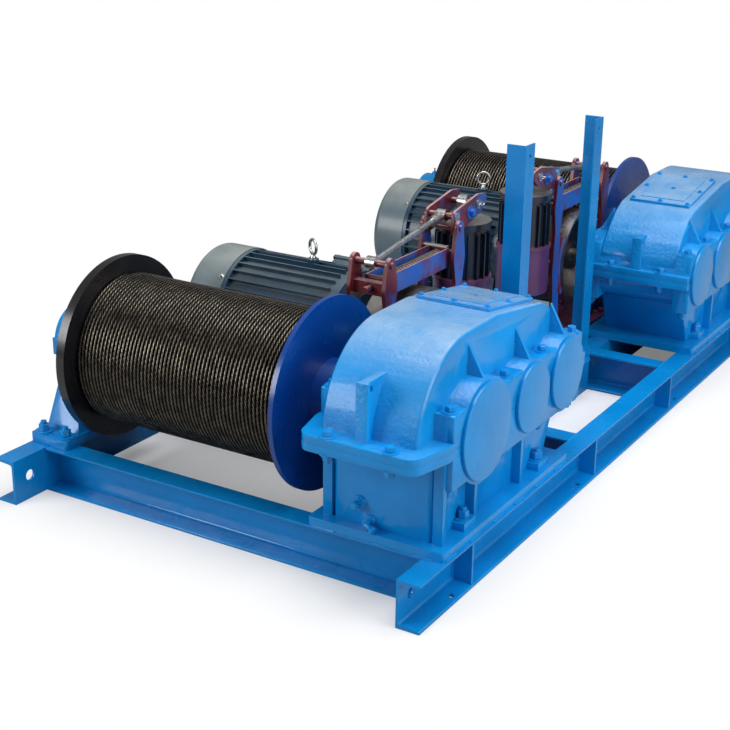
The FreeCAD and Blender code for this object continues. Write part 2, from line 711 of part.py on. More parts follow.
def hood():
    """Arched hood: round over the big gear, sloping to the small end and curved down to the flange."""
    sill = SPLIT_HIGH_Z - ROOT
    rise = sill - AXIS_Z
    start = V(0, DRUM_Y - math.sqrt(HOOD_R ** 2 - rise ** 2), sill)
    slant = HOOD_R * math.sqrt(0.5)
    crown = V(0, DRUM_Y - slant, AXIS_Z + slant)
    top = V(0, DRUM_Y, AXIS_Z + HOOD_R)
    shoulder = V(0, DRUM_Y + HOOD_SHOULDER, HOOD_SHOULDER_Z)
    end = V(0, MOTOR_Y - HOOD_END, HOOD_END_Z)
    toe = V(0, MOTOR_Y + HOOD_TOE, HOOD_TOE_Z)
    heel = V(0, toe.y, sill)
    chord = toe - end
    out = chord.cross(X) * (-1.0 / chord.Length)
    bend = (end + toe) * 0.5 + out * HOOD_BULGE
    edges = [
        Part.Arc(start, crown, top).toShape(), Part.makeLine(top, shoulder), Part.makeLine(shoulder, end),
        Part.Arc(end, bend, toe).toShape(), Part.makeLine(toe, heel), Part.makeLine(heel, start),
    ]
    body = Part.Face(Part.Wire(edges)).extrude(V(2 * HOOD_HALF, 0, 0))
    body.translate(V(BOX_X - HOOD_HALF, 0, 0))
    rims = [e for e in body.Edges
            if abs(abs(e.CenterOfMass.x - BOX_X) - HOOD_HALF) < 0.1 and e.CenterOfMass.z > HOOD_TOE_Z
            and e.BoundBox.ZMax > HOOD_TOE_Z + PAST]
    return body.makeFillet(HOOD_EDGE_R, rims)


def lifting_lug(edge_y, inward, height):
    """Lug of plate with a thick outer strip and an eye hole. inward is +1 or -1 along Y."""
    sill = SPLIT_HIGH_Z - ROOT
    top = SPLIT_HIGH_Z + height
    depth = 4 * LUG_HOLE_INSET
    outline = [(edge_y, sill), (edge_y, top), (edge_y + inward * depth, top), (edge_y + inward * depth, sill)]
    plate = yz_prism(outline, BOX_X - LUG_T / 2, BOX_X + LUG_T / 2)
    strip_in = edge_y + inward * LUG_STRIP_T
    strip = box(BOX_X - LUG_STRIP_W / 2, BOX_X + LUG_STRIP_W / 2, min(edge_y, strip_in), max(edge_y, strip_in),
                sill, top)
    eye = x_cylinder(LUG_HOLE_R, BOX_X - LUG_T, BOX_X + LUG_T, edge_y + inward * LUG_HOLE_INSET,
                     top - LUG_HOLE_DROP)
    return plate.fuse(strip).cut(eye)


def gussets():
    """Three-cornered ribs from the bearing bosses up the sides of the hood."""
    shapes = []
    for side in (-1, 1):
        wall = BOX_X + side * (HOOD_HALF - ROOT)
        out = BOX_X + side * (BOSS_HALF - COVER_STEP)
        for y, radius in SHAFTS:
            foot = AXIS_Z + radius - ROOT
            outline = [(wall, foot), (out, foot), (wall, foot + GUSSET_RISE)]
            shapes.append(xz_prism(outline, y - GUSSET_T / 2, y + GUSSET_T / 2))
    return shapes


def gearbox_cover():
    """Upper casting: hood, half bosses with bolt columns and gussets, joint flange and two lifting lugs."""
    low = AXIS_Z + SEAT
    top = AXIS_Z + COLUMN_TOP
    shelf = box(BOX_X - BOSS_HALF + COVER_STEP, BOX_X + BOSS_HALF - COVER_STEP, COLUMNS_Y[0], COLUMNS_Y[-1],
                SPLIT_HIGH_Z - ROOT, top - COLUMN_PAD_T)
    shapes = [
        hood(), split_flange(low, SPLIT_HIGH_Z), shelf,
        lifting_lug(SPLIT_Y0 + LUG_SETBACK, 1, LUG_1_H), lifting_lug(SPLIT_Y1 - LUG_SETBACK_2, -1, LUG_2_H),
    ]
    shapes += bearing_bosses() + bolt_columns(SPLIT_HIGH_Z - ROOT, top) + gussets()
    keep = box(BOX_X - 2 * BOSS_HALF, BOX_X + 2 * BOSS_HALF, SPLIT_Y0, SPLIT_Y1, low, 2 * HOOD_SHOULDER_Z)
    return cut(fuse(shapes).common(keep), shaft_bores() + column_bolt_holes())


def inspection_cover():
    """Hatch on the sloping top of the hood, with a raised panel and a vent hole."""
    y0 = DRUM_Y + HOOD_SHOULDER
    y1 = MOTOR_Y - HOOD_END
    slope = (HOOD_END_Z - HOOD_SHOULDER_Z) / (y1 - y0)

    def plate(inset, low, high):
        rows = ((y0 + HATCH_LIP + inset, low), (y1 - HATCH_LIP - inset, low),
                (y1 - HATCH_LIP - inset, high), (y0 + HATCH_LIP + inset, high))
        outline = [(y, HOOD_SHOULDER_Z + slope * (y - y0) + lift) for y, lift in rows]
        return yz_prism(outline, HATCH_X0 + inset, HATCH_X1 - inset)

    hatch = plate(0, SEAT, HATCH_T).fuse(plate(HATCH_PANEL_INSET, HATCH_T - ROOT, HATCH_T + HATCH_PANEL_T))
    vent_x = (HATCH_X0 + HATCH_X1) / 2
    vent = z_cylinder(VENT_R, vent_x, (y0 + y1) / 2, HOOD_END_Z - PAST, HOOD_SHOULDER_Z + PAST)
    return hatch.cut(vent)


def bearing_covers():
    """Round covers over the bearings: all three on the outer side, and the middle one by the drum."""
    outer = BOX_X + BOSS_HALF + SEAT
    inner = BOX_DRUM_SIDE - SEAT
    discs = []
    for y, r in SHAFTS:
        radius = r - COVER_LIP
        outline = [(outer, 0), (outer, radius), (outer + COVER_PLATE_T - COVER_PLATE_EDGE, radius),
                   (outer + COVER_PLATE_T, radius - COVER_PLATE_EDGE), (outer + COVER_PLATE_T, 0)]
        discs.append(turned(outline, y, AXIS_Z))
    discs.append(x_cylinder(MID_BOSS_R - COVER_LIP, inner - COVER_PLATE_T, inner, INTER_Y, AXIS_Z))
    for y, r, shaft_r in ((DRUM_Y, LOW_BOSS_R, DRUM_SHAFT_R), (MOTOR_Y, HIGH_BOSS_R, HS_SHAFT_R)):
        disc = x_cylinder(r - COVER_LIP, inner - COVER_PLATE_T, inner, y, AXIS_Z)
        hole = x_cylinder(shaft_r + RUN_CLEARANCE, inner - 2 * COVER_PLATE_T, inner + PAST, y, AXIS_Z)
        discs.append(disc.cut(hole))
    return group(discs)


# Motor

def motor():
    """Finned motor body with both end shields, two feet, terminal box and the pad of its eye bolt."""
    spigot_x = MOTOR_RING_X - SHIELD_SPIGOT
    spigot_r = MOTOR_FAN_R - COWL_T - SEAT
    x0 = MOTOR_RING_X + SHIELD_T
    x1 = MOTOR_BODY_X1
    rim_x = x1 + MOTOR_BELL_RIM
    nose_x = MOTOR_BELL_X1 - MOTOR_NOSE_L
    profile = [
        (spigot_x, 0), (spigot_x, spigot_r), (x0, spigot_r), (x0, MOTOR_BODY_R), (x1, MOTOR_BODY_R), (x1, MOTOR_BELL_R), (rim_x, MOTOR_BELL_R),
        (rim_x, MOTOR_BELL_R - PAST), (nose_x, MOTOR_BELL_WAIST_R), (nose_x, MOTOR_NOSE_R),
        (MOTOR_BELL_X1, MOTOR_NOSE_R), (MOTOR_BELL_X1, 0),
    ]
    shapes = [turned(profile, MOTOR_Y, AXIS_Z)]
    centre = V(0, MOTOR_Y, AXIS_Z)
    for i in range(MOTOR_FINS):
        fin = box(x0 - ROOT, x1 - MOTOR_FIN_SETBACK, MOTOR_Y - MOTOR_FIN_T / 2,
                  MOTOR_Y + MOTOR_FIN_T / 2, AXIS_Z + MOTOR_BODY_R - ROOT, AXIS_Z + MOTOR_FIN_R)
        fin.rotate(centre, X, 360.0 * (i + 0.5) / MOTOR_FINS)
        shapes.append(fin)
    for i in range(MOTOR_BELL_RIBS):
        low = AXIS_Z + MOTOR_NOSE_R - ROOT
        high = AXIS_Z + MOTOR_BELL_R - ROOT
        outline = [(x1, low), (nose_x + ROOT, low), (nose_x + ROOT, AXIS_Z + MOTOR_BELL_WAIST_R + PAST),
                   (rim_x, high), (x1, high)]
        rib = xz_prism(outline, MOTOR_Y - MOTOR_BELL_RIB_T / 2, MOTOR_Y + MOTOR_BELL_RIB_T / 2)
        rib.rotate(centre, X, 360.0 * (i + 0.5) / MOTOR_BELL_RIBS)
        shapes.append(rib)
    terminal = [
        box(TERMINAL_X0, TERMINAL_X1, MOTOR_Y - TERMINAL_W / 2, MOTOR_Y + TERMINAL_W / 2,
            AXIS_Z + MOTOR_BODY_R / 2, AXIS_Z + TERMINAL_REACH - TERMINAL_LID_T),
        box(TERMINAL_X0 - TERMINAL_LID_LIP, TERMINAL_X1 + TERMINAL_LID_LIP,
            MOTOR_Y - TERMINAL_W / 2 - TERMINAL_LID_LIP, MOTOR_Y + TERMINAL_W / 2 + TERMINAL_LID_LIP,
            AXIS_Z + TERMINAL_REACH - TERMINAL_LID_T - ROOT, AXIS_Z + TERMINAL_REACH),
    ]
    for shape in terminal:
        shape.rotate(centre, X, TERMINAL_ANGLE)
    shapes += terminal
    shapes.append(z_cylinder(EYE_PAD_R, EYE_PAD_X, MOTOR_Y, AXIS_Z + MOTOR_BODY_R - PAST,
                             AXIS_Z + MOTOR_FIN_R + EYE_PAD_H))
    holes = []
    for side in (-1, 1):
        y = MOTOR_Y + side * MOTOR_FOOT_Y
        shapes.append(box(MOTOR_FOOT_X0, MOTOR_FOOT_X1, y - MOTOR_FOOT_W / 2, y + MOTOR_FOOT_W / 2,
                          MOTOR_FOOT_Z, MOTOR_FOOT_Z + MOTOR_FOOT_T))
        for x in (MOTOR_FOOT_X0, MOTOR_FOOT_X1 - MOTOR_FOOT_RIB_T):
            inner_y = MOTOR_Y + side * MOTOR_BODY_R / 2
            outer_y = y + side * (MOTOR_FOOT_W / 2 - MOTOR_FOOT_RIB_T)
            outline = [(inner_y, MOTOR_FOOT_Z + ROOT), (outer_y, MOTOR_FOOT_Z + ROOT),
                       (outer_y, MOTOR_FOOT_Z + MOTOR_FOOT_T + PAST), (y, AXIS_Z - MOTOR_BODY_R / 2),
                       (inner_y, AXIS_Z - MOTOR_BODY_R / 2)]
            shapes.append(yz_prism(outline, x, x + MOTOR_FOOT_RIB_T))
        for x in (MOTOR_FOOT_X0 + MOTOR_FOOT_BOLT_INSET, MOTOR_FOOT_X1 - MOTOR_FOOT_BOLT_INSET):
            holes.append(z_cylinder(MOTOR_FOOT_BOLT_R, x, y, MOTOR_FOOT_Z - PAST,
                                    MOTOR_FOOT_Z + MOTOR_FOOT_T + PAST))
    body = fuse(shapes)
    bore = x_cylinder(MOTOR_SHAFT_R + RUN_CLEARANCE, spigot_x - PAST, MOTOR_BELL_X1 + PAST, MOTOR_Y, AXIS_Z)
    return cut(body, [bore] + holes)


def fan_cover():
    """Sheet-metal cowl with a rounded rim and a grille of ring slots at its far end."""
    x0 = MOTOR_FAN_X
    x1 = MOTOR_RING_X
    t = COWL_T
    r = MOTOR_FAN_R
    corner = COWL_CORNER
    outer = x_cylinder(r, x0, x1, MOTOR_Y, AXIS_Z)
    inner = x_cylinder(r - t, x0 + t, x1 + PAST, MOTOR_Y, AXIS_Z)
    outer = outer.makeFillet(corner, [e for e in outer.Edges if abs(e.BoundBox.XMax - x0) < 0.1])
    inner = inner.makeFillet(corner - t, [e for e in inner.Edges if abs(e.BoundBox.XMax - x0 - t) < 0.1])
    cowl = outer.cut(inner)
    spokes = [box(x0 - PAST, x0 + 2 * t, MOTOR_Y - r, MOTOR_Y + r,
                  AXIS_Z - GRILLE_SPOKE_W / 2, AXIS_Z + GRILLE_SPOKE_W / 2) for _ in range(GRILLE_SPOKES // 2)]
    for i, spoke in enumerate(spokes):
        spoke.rotate(V(0, MOTOR_Y, AXIS_Z), X, 360.0 * i / GRILLE_SPOKES)
    spokes = fuse(spokes)
    for row in range(GRILLE_ROWS):
        low = GRILLE_R0 + row * (GRILLE_SLOT + GRILLE_RING)
        band = x_cylinder(low + GRILLE_SLOT, x0 - PAST, x0 + 2 * t, MOTOR_Y, AXIS_Z)
        band = band.cut(x_cylinder(low, x0 - PAST, x0 + 2 * t, MOTOR_Y, AXIS_Z))
        cowl = cowl.cut(band.cut(spokes))
    return cowl


def motor_fan():
    """Cooling fan behind the grille: hub, back disc and straight blades, on the motor's shaft."""
    x1 = MOTOR_RING_X - FAN_GAP
    x0 = x1 - FAN_W
    hub = x_cylinder(FAN_HUB_R, x0, x1, MOTOR_Y, AXIS_Z)
    disc = x_cylinder(FAN_R - PAST, x1 - FAN_BLADE_T, x1, MOTOR_Y, AXIS_Z)
    shapes = [hub, disc]
    for i in range(FAN_BLADES):
        blade = box(x0, x1 - ROOT, MOTOR_Y - FAN_BLADE_T / 2, MOTOR_Y + FAN_BLADE_T / 2,
                    AXIS_Z + FAN_HUB_R - ROOT, AXIS_Z + FAN_R)
        blade.rotate(V(0, MOTOR_Y, AXIS_Z), X, 360.0 * i / FAN_BLADES)
        shapes.append(blade)
    bore = x_cylinder(MOTOR_SHAFT_R + SEAT, x0 - PAST, x1 + PAST, MOTOR_Y, AXIS_Z)
    return fuse(shapes).cut(bore)


def motor_plinths():
    """Two plinths of folded plate between the bearers and the motor's feet."""
    plinths = []
    half = PLINTH_W / 2
    for side in (-1, 1):
        y = MOTOR_Y + side * MOTOR_FOOT_Y
        outline = [
            (y - half, RAIL_H), (y - half, MOTOR_FOOT_Z), (y + half, MOTOR_FOOT_Z), (y + half, RAIL_H),
            (y + half - PLINTH_T, RAIL_H), (y + half - PLINTH_T, MOTOR_FOOT_Z - PLINTH_T),
            (y - half + PLINTH_T, MOTOR_FOOT_Z - PLINTH_T), (y - half + PLINTH_T, RAIL_H),
        ]
        plinths.append(yz_prism(outline, MOTOR_FOOT_X0 - PLINTH_END, MOTOR_FOOT_X1 + PLINTH_END))
    return group(plinths)


def motor_bearers():
    """Channels under the motors and brakes, from the left rail to the inner rails."""
    x0 = -RAIL_INNER_X
    x1 = INNER_RAIL_X - RAIL_FLANGE - SEAT
    outer = -MOTOR_Y + MOTOR_FOOT_Y - RAIL_FLANGE / 2
    return group([
        channel_x(-outer, -1, x0, x1),
        channel_x(MID_BEAM_1_Y - SEAT, -1, x0, x1),
        channel_x(MID_BEAM_2_Y + RAIL_FLANGE + SEAT, 1, x0, x1),
        channel_x(outer, 1, x0, x1),
    ])


# Brake

def brake_wheel():
    """Brake drum with its hub on the high-speed shaft, which runs from the fan to the gearbox."""
    x0 = BRAKE_X - WHEEL_W / 2
    x1 = BRAKE_X + WHEEL_W / 2
    disc_0 = BRAKE_X - WHEEL_DISC / 2
    disc_1 = BRAKE_X + WHEEL_DISC / 2
    hub_0 = BRAKE_X - WHEEL_HUB_L / 2
    hub_1 = BRAKE_X + WHEEL_HUB_L / 2
    inner = WHEEL_R - WHEEL_RIM
    fan_end = MOTOR_RING_X - FAN_GAP - FAN_W
    profile = [
        (fan_end, 0), (fan_end, MOTOR_SHAFT_R), (hub_0, MOTOR_SHAFT_R), (hub_0, WHEEL_HUB_R),
        (disc_0, WHEEL_HUB_R), (disc_0, inner), (x0, inner), (x0, WHEEL_R), (x1, WHEEL_R), (x1, inner),
        (disc_1, inner), (disc_1, WHEEL_HUB_R), (hub_1, WHEEL_HUB_R), (hub_1, HS_SHAFT_R),
        (BOX_DRUM_SIDE + SHAFT_DEPTH, HS_SHAFT_R), (BOX_DRUM_SIDE + SHAFT_DEPTH, 0),
    ]
    return turned(profile, MOTOR_Y, AXIS_Z)


def arm_plates(side, top_z):
    """A pair of cranked arm plates: foot, knee behind the shoe, slim neck, broad shoulder and top eye."""
    y = MOTOR_Y
    foot = (y + side * ARM_FOOT_REACH, ARM_FOOT_Z)
    knee = (y + side * ARM_KNEE_REACH, AXIS_Z)
    neck = (y + side * ARM_KNEE_REACH, ARM_NECK_Z)
    shoulder = (y + side * ARM_TOP_REACH, SPRING_Z)
    top = (y + side * ARM_TOP_REACH, top_z)
    rows = ((foot, ARM_FOOT_R), (knee, ARM_KNEE_R), (neck, ARM_NECK_R), (shoulder, ARM_SHOULDER_R),
            (top, ARM_TOP_R))
    plates = []
    for s in (-1, 1):
        x0 = BRAKE_X + s * (ARM_GAP + ARM_T) / 2 - ARM_T / 2
        for (a, radius_a), (b, radius_b) in zip(rows, rows[1:]):
            plates += link(a, radius_a, b, radius_b, x0, x0 + ARM_T)
    return plates


def shoe(side):
    """Curved shoe that grips the wheel, with a lug between the arm plates."""
    x0 = BRAKE_X - WHEEL_W / 2 + SHOE_INSET
    x1 = BRAKE_X + WHEEL_W / 2 - SHOE_INSET
    inner = WHEEL_R + SHOE_GAP
    ring = x_cylinder(SHOE_BACK, x0, x1, MOTOR_Y, AXIS_Z).cut(x_cylinder(inner, x0, x1, MOTOR_Y, AXIS_Z))
    reach = 2 * SHOE_BACK
    rise = reach * math.tan(math.radians(SHOE_HALF_ANGLE))
    wedge = yz_prism([(MOTOR_Y, AXIS_Z), (MOTOR_Y + side * reach, AXIS_Z + rise),
                      (MOTOR_Y + side * reach, AXIS_Z - rise)], x0, x1)
    lug_0 = MOTOR_Y + side * (SHOE_BACK - ROOT)
    lug_1 = MOTOR_Y + side * (SHOE_BACK - ROOT + SHOE_LUG_L)
    lug = box(BRAKE_X - ARM_GAP / 2 - ROOT, BRAKE_X + ARM_GAP / 2 + ROOT, min(lug_0, lug_1), max(lug_0, lug_1),
              AXIS_Z - SHOE_LUG_H / 2, AXIS_Z + SHOE_LUG_H / 2)
    return [ring.common(wedge), lug]


def brake_arm(side, top_z):
    """Arm with its shoe, spring block and top pin. side -1 faces the drum, +1 the thruster."""
    y = MOTOR_Y + side * ARM_TOP_REACH
    x0 = BRAKE_X - ARM_GAP / 2 - ARM_T
    x1 = BRAKE_X + ARM_GAP / 2 + ARM_T
    block = box(x0 + ROOT, x1 - ROOT, y - SPRING_BLOCK_T / 2, y + SPRING_BLOCK_T / 2,
                SPRING_Z - SPRING_BLOCK_H / 2, SPRING_Z + SPRING_BLOCK_H / 2)
    pin = x_cylinder(PIN_R, x0 - PIN_HEAD, x1 + PIN_HEAD, y, top_z)
    arm = fuse(arm_plates(side, top_z) + shoe(side) + [block, pin])
    foot_hole = x_cylinder(PIN_R + SEAT, x0 - PAST, x1 + PAST, MOTOR_Y + side * ARM_FOOT_REACH, ARM_FOOT_Z)
    rod_hole = cylinder(PIN_R + SPRING_PLAY / 2, V(BRAKE_X, y - SPRING_BLOCK_T, SPRING_Z),
                        V(BRAKE_X, y + SPRING_BLOCK_T, SPRING_Z))
    return cut(arm, [foot_hole, rod_hole])


def brake_base():
    """Brake base plate with an ear under each arm and the stand of the thruster."""
    z0 = RAIL_H + BRAKE_BASE_T - ROOT
    thruster_y = MOTOR_Y + LEVER_PIN_REACH
    shapes = [box(BRAKE_X - BRAKE_PLATE_W / 2, BRAKE_X + BRAKE_PLATE_W / 2,
                  MOTOR_Y - ARM_FOOT_REACH - BRAKE_PLATE_END, thruster_y + CHEEK_FOOT + BRAKE_PLATE_END / 2,
                  RAIL_H, RAIL_H + BRAKE_BASE_T)]
    half = ARM_GAP / 2 - LEVER_PLAY
    pin_half = ARM_GAP / 2 + ARM_T + PIN_HEAD
    for side in (-1, 1):
        y = MOTOR_Y + side * ARM_FOOT_REACH
        shapes.append(box(BRAKE_X - half, BRAKE_X + half, y - BRAKE_EAR_R, y + BRAKE_EAR_R, z0, ARM_FOOT_Z))
        shapes.append(x_cylinder(BRAKE_EAR_R, BRAKE_X - half, BRAKE_X + half, y, ARM_FOOT_Z))
        shapes.append(x_cylinder(PIN_R, BRAKE_X - pin_half, BRAKE_X + pin_half, y, ARM_FOOT_Z))
    cheek_x = THRUSTER_LUG_W / 2 + CHEEK_GAP
    for s in (-1, 1):
        x0 = BRAKE_X + s * (cheek_x + CHEEK_T / 2) - CHEEK_T / 2
        outline = [(thruster_y - CHEEK_FOOT, z0), (thruster_y - BRAKE_EAR_R, THRUSTER_FOOT_Z),
                   (thruster_y + BRAKE_EAR_R, THRUSTER_FOOT_Z), (thruster_y + CHEEK_FOOT, z0)]
        window_z = (z0 + THRUSTER_FOOT_Z) / 2
        cheek = yz_prism(outline, x0, x0 + CHEEK_T).fuse(
            x_cylinder(BRAKE_EAR_R, x0, x0 + CHEEK_T, thruster_y, THRUSTER_FOOT_Z))
        reach = CHEEK_WINDOW_L / 2
        window = box(x0 - PAST, x0 + CHEEK_T + PAST, thruster_y - CHEEK_WINDOW_R, thruster_y + CHEEK_WINDOW_R,
                     window_z - reach, window_z + reach)
        rounds = [x_cylinder(CHEEK_WINDOW_R, x0 - PAST, x0 + CHEEK_T + PAST, thruster_y, window_z + end * reach)
                  for end in (-1, 1)]
        shapes.append(cheek.cut(fuse([window] + rounds)))
    pin_half = cheek_x + CHEEK_T + PIN_HEAD
    shapes.append(x_cylinder(PIN_R, BRAKE_X - pin_half, BRAKE_X + pin_half, thruster_y, THRUSTER_FOOT_Z))
    return fuse(shapes)


def spring_case():
    """Open channel with the closing spring, carried by the rear arm's block and above the wheel."""
    block = ARM_TOP_REACH - SPRING_BLOCK_T / 2
    y0 = MOTOR_Y - block + SPRING_PLAY
    y1 = MOTOR_Y + block
    half = SPRING_CASE_W / 2
    z0 = SPRING_Z - SPRING_CASE_H / 2
    z1 = SPRING_Z + SPRING_CASE_H / 2
    t = SPRING_CASE_T
    x = BRAKE_X
    outline = [(x - half, z1), (x - half, z0), (x + half, z0), (x + half, z1),
               (x + half - t, z1), (x + half - t, z0 + t), (x - half + t, z0 + t), (x - half + t, z1)]
    case = xz_prism(outline, y0, y1)
    ends = [box(x - half, x + half, y0, y0 + t, z0, z1), box(x - half, x + half, y1 - t, y1, z0, z1)]
    coil = cylinder(SPRING_R, V(x, y0 + t - ROOT, SPRING_Z), V(x, y1 - t + ROOT, SPRING_Z))
    rod_y = y0 - SPRING_BLOCK_T - SPRING_PLAY - SPRING_ROD_TAIL
    rod = cylinder(PIN_R, V(x, rod_y, SPRING_Z), V(x, y0 + t, SPRING_Z))
    return fuse([case] + ends + [coil, rod])


def tie_rod():
    """Threaded rod from the pin of the front arm up to the lever, with an eye at each end."""
    front = V(BRAKE_X, MOTOR_Y - ARM_TOP_REACH, FRONT_PIN_Z)
    rear = V(BRAKE_X, MOTOR_Y + ARM_TOP_REACH, LEVER_TIE_Z)
    line = rear - front
    line.normalize()
    inner = TIE_EYE_R - ROOT
    rod = cylinder(TIE_ROD_R, front + line * inner, rear - line * inner)
    nut = cylinder(TIE_NUT_R, rear - line * (TIE_EYE_R + TIE_NUT_L), rear - line * inner)
    half = TIE_EYE_W / 2
    eyes = [x_cylinder(TIE_EYE_R, BRAKE_X - half, BRAKE_X + half, p.y, p.z) for p in (front, rear)]
    holes = [x_cylinder(PIN_R + SEAT, BRAKE_X - half - PAST, BRAKE_X + half + PAST, front.y, front.z),
             x_cylinder(PIN_R + EYE_PLAY, BRAKE_X - half - PAST, BRAKE_X + half + PAST, rear.y, rear.z)]
    return cut(fuse([rod, nut] + eyes), holes)


def lever():
    """Two lever plates on the rear arm's pin, from the tie rod's pin to the thruster's pin."""
    y = MOTOR_Y + ARM_TOP_REACH
    pin_y = MOTOR_Y + LEVER_PIN_REACH
    inner = ARM_GAP / 2 - LEVER_PLAY
    heel = (y, LEVER_TIE_Z)
    pivot = (y, REAR_PIN_Z)
    pin = (pin_y, LEVER_PIN_Z)
    tip = (pin_y + LEVER_TIP, LEVER_PIN_Z + LEVER_TIP_RISE)
    shapes = []
    for s in (-1, 1):
        x0 = BRAKE_X + s * (inner - LEVER_T / 2) - LEVER_T / 2
        shapes += link(heel, LEVER_HEEL_R, pivot, LEVER_PIVOT_R, x0, x0 + LEVER_T)
        shapes += link(heel, LEVER_HEEL_R, pin, LEVER_END_R, x0, x0 + LEVER_T)
        shapes += link(pivot, LEVER_PIVOT_R, pin, LEVER_END_R, x0, x0 + LEVER_T)
        shapes += link(pin, LEVER_END_R, tip, LEVER_TIP_R, x0, x0 + LEVER_T)
    for pin_at in (heel, pin):
        shapes.append(x_cylinder(PIN_R, BRAKE_X - inner, BRAKE_X + inner, *pin_at))
    hole = x_cylinder(PIN_R + SEAT, BRAKE_X - ARM_GAP, BRAKE_X + ARM_GAP, y, REAR_PIN_Z)
    return fuse(shapes).cut(hole)


def thruster():
    """Upright electro-hydraulic thruster, ribbed all round, on a pivot pin at its foot."""
    y = MOTOR_Y + LEVER_PIN_REACH
    cap = THRUSTER_Z1 - THRUSTER_CAP_H
    shapes = [
        z_cylinder(THRUSTER_BODY_R, BRAKE_X, y, THRUSTER_Z0, THRUSTER_Z1),
        z_cylinder(THRUSTER_R, BRAKE_X, y, cap, THRUSTER_Z1),
        z_cylinder(THRUSTER_R, BRAKE_X, y, THRUSTER_Z0, THRUSTER_Z0 + THRUSTER_BASE_H),
    ]
    for i in range(THRUSTER_RIBS):
        rib = box(BRAKE_X - THRUSTER_RIB_T / 2, BRAKE_X + THRUSTER_RIB_T / 2, y + THRUSTER_BODY_R - ROOT,
                  y + THRUSTER_R, THRUSTER_Z0 + THRUSTER_BASE_H - ROOT, cap - THRUSTER_CAP_GAP)
        rib.rotate(V(BRAKE_X, y, 0), Z, 360.0 * i / THRUSTER_RIBS)
        shapes.append(rib)
    half = THRUSTER_LUG_W / 2
    shapes.append(box(BRAKE_X - half, BRAKE_X + half, y - THRUSTER_LUG_R, y + THRUSTER_LUG_R,
                      THRUSTER_FOOT_Z, THRUSTER_Z0 + ROOT))
    shapes.append(x_cylinder(THRUSTER_LUG_R, BRAKE_X - half, BRAKE_X + half, y, THRUSTER_FOOT_Z))
    rod_hole = z_cylinder(THRUSTER_ROD_R + SEAT, BRAKE_X, y, THRUSTER_Z1 - THRUSTER_ROD_SINK - 2 * PAST,
                          THRUSTER_Z1 + PAST)
    foot_hole = x_cylinder(PIN_R + SEAT, BRAKE_X - half - PAST, BRAKE_X + half + PAST, y, THRUSTER_FOOT_Z)
    return cut(fuse(shapes), [rod_hole, foot_hole])


def thruster_rod():
    """Push rod of the thruster with the eye that lifts the lever's pin."""
    y = MOTOR_Y + LEVER_PIN_REACH
    half = TIE_EYE_W / 2
    rod = z_cylinder(THRUSTER_ROD_R, BRAKE_X, y, THRUSTER_Z1 - THRUSTER_ROD_SINK,
                     LEVER_PIN_Z - THRUSTER_EYE_R + PAST)
    eye = x_cylinder(THRUSTER_EYE_R, BRAKE_X - half, BRAKE_X + half, y, LEVER_PIN_Z)
    hole = x_cylinder(PIN_R + EYE_PLAY, BRAKE_X - half - PAST, BRAKE_X + half + PAST, y, LEVER_PIN_Z)
    return fuse([rod, eye]).cut(hole)


# Assembly

def unit():
    """Every node of unit 1 under its plain name."""
    return {
        "drum": drum(),
        "rope": rope_winding(),
        "pedestal": pedestal(),
        "pedestal_cap": pedestal_cap(),
        "gearbox_bed": gearbox_bed(),
        "gearbox_base": gearbox_base(),
        "gearbox_cover": gearbox_cover(),
        "inspection_cover": inspection_cover(),
        "bearing_covers": bearing_covers(),
        "motor": motor(),
        "fan_cover": fan_cover(),
        "motor_fan": motor_fan(),
        "brake_wheel": brake_wheel(),
        "brake_base": brake_base(),
        "brake_front_arm": brake_arm(-1, FRONT_PIN_Z),
        "brake_rear_arm": brake_arm(1, REAR_PIN_Z),
        "brake_spring": spring_case(),
        "brake_tie_rod": tie_rod(),
        "brake_lever": lever(),
        "brake_thruster": thruster(),
        "brake_thruster_rod": thruster_rod(),
    }


def winch():
    """Every node by name."""
    nodes = {"rail_left": rail(-1), "rail_right": rail(1)}
    nodes.update(cross_beams())
    nodes["inner_rails"] = inner_rails()
    nodes["motor_bearers"] = motor_bearers()
    nodes["motor_plinths"] = group([motor_plinths(), mirrored(motor_plinths())])
    nodes["post_front"] = post(-1)
    nodes["post_rear"] = post(1)
    for name, shape in unit().items():
        nodes[name + "_1"] = shape
        nodes[name + "_2"] = mirrored(shape)
    return nodes


os.makedirs("parts", exist_ok=True)
for node, shape in winch().items():
    shape.exportStep("parts/" + node + ".step")
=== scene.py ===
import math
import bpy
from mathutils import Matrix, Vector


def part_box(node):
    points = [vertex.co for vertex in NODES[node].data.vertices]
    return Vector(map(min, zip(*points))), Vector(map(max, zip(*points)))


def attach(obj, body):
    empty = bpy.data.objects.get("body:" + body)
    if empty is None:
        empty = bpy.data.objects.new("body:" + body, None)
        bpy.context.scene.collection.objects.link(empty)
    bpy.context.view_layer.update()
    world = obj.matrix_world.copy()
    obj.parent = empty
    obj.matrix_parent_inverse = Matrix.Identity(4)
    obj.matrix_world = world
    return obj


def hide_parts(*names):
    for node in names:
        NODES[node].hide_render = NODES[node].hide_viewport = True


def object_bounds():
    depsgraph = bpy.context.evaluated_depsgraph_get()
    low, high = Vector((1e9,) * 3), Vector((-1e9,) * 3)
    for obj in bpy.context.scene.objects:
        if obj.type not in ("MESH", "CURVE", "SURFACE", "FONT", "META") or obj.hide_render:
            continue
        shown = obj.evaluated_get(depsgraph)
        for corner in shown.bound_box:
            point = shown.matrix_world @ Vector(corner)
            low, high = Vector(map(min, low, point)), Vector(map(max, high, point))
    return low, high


bl_info = {
    "name": "Double-Drum Winch Finish",
    "version": (1, 0, 0),
    "blender": (4, 5, 0),
    "location": "View3D > Sidebar > Winch",
    "description": "Paint, wire rope, cast edges, fasteners and studio for the double-drum winch",
    "category": "Object",
}

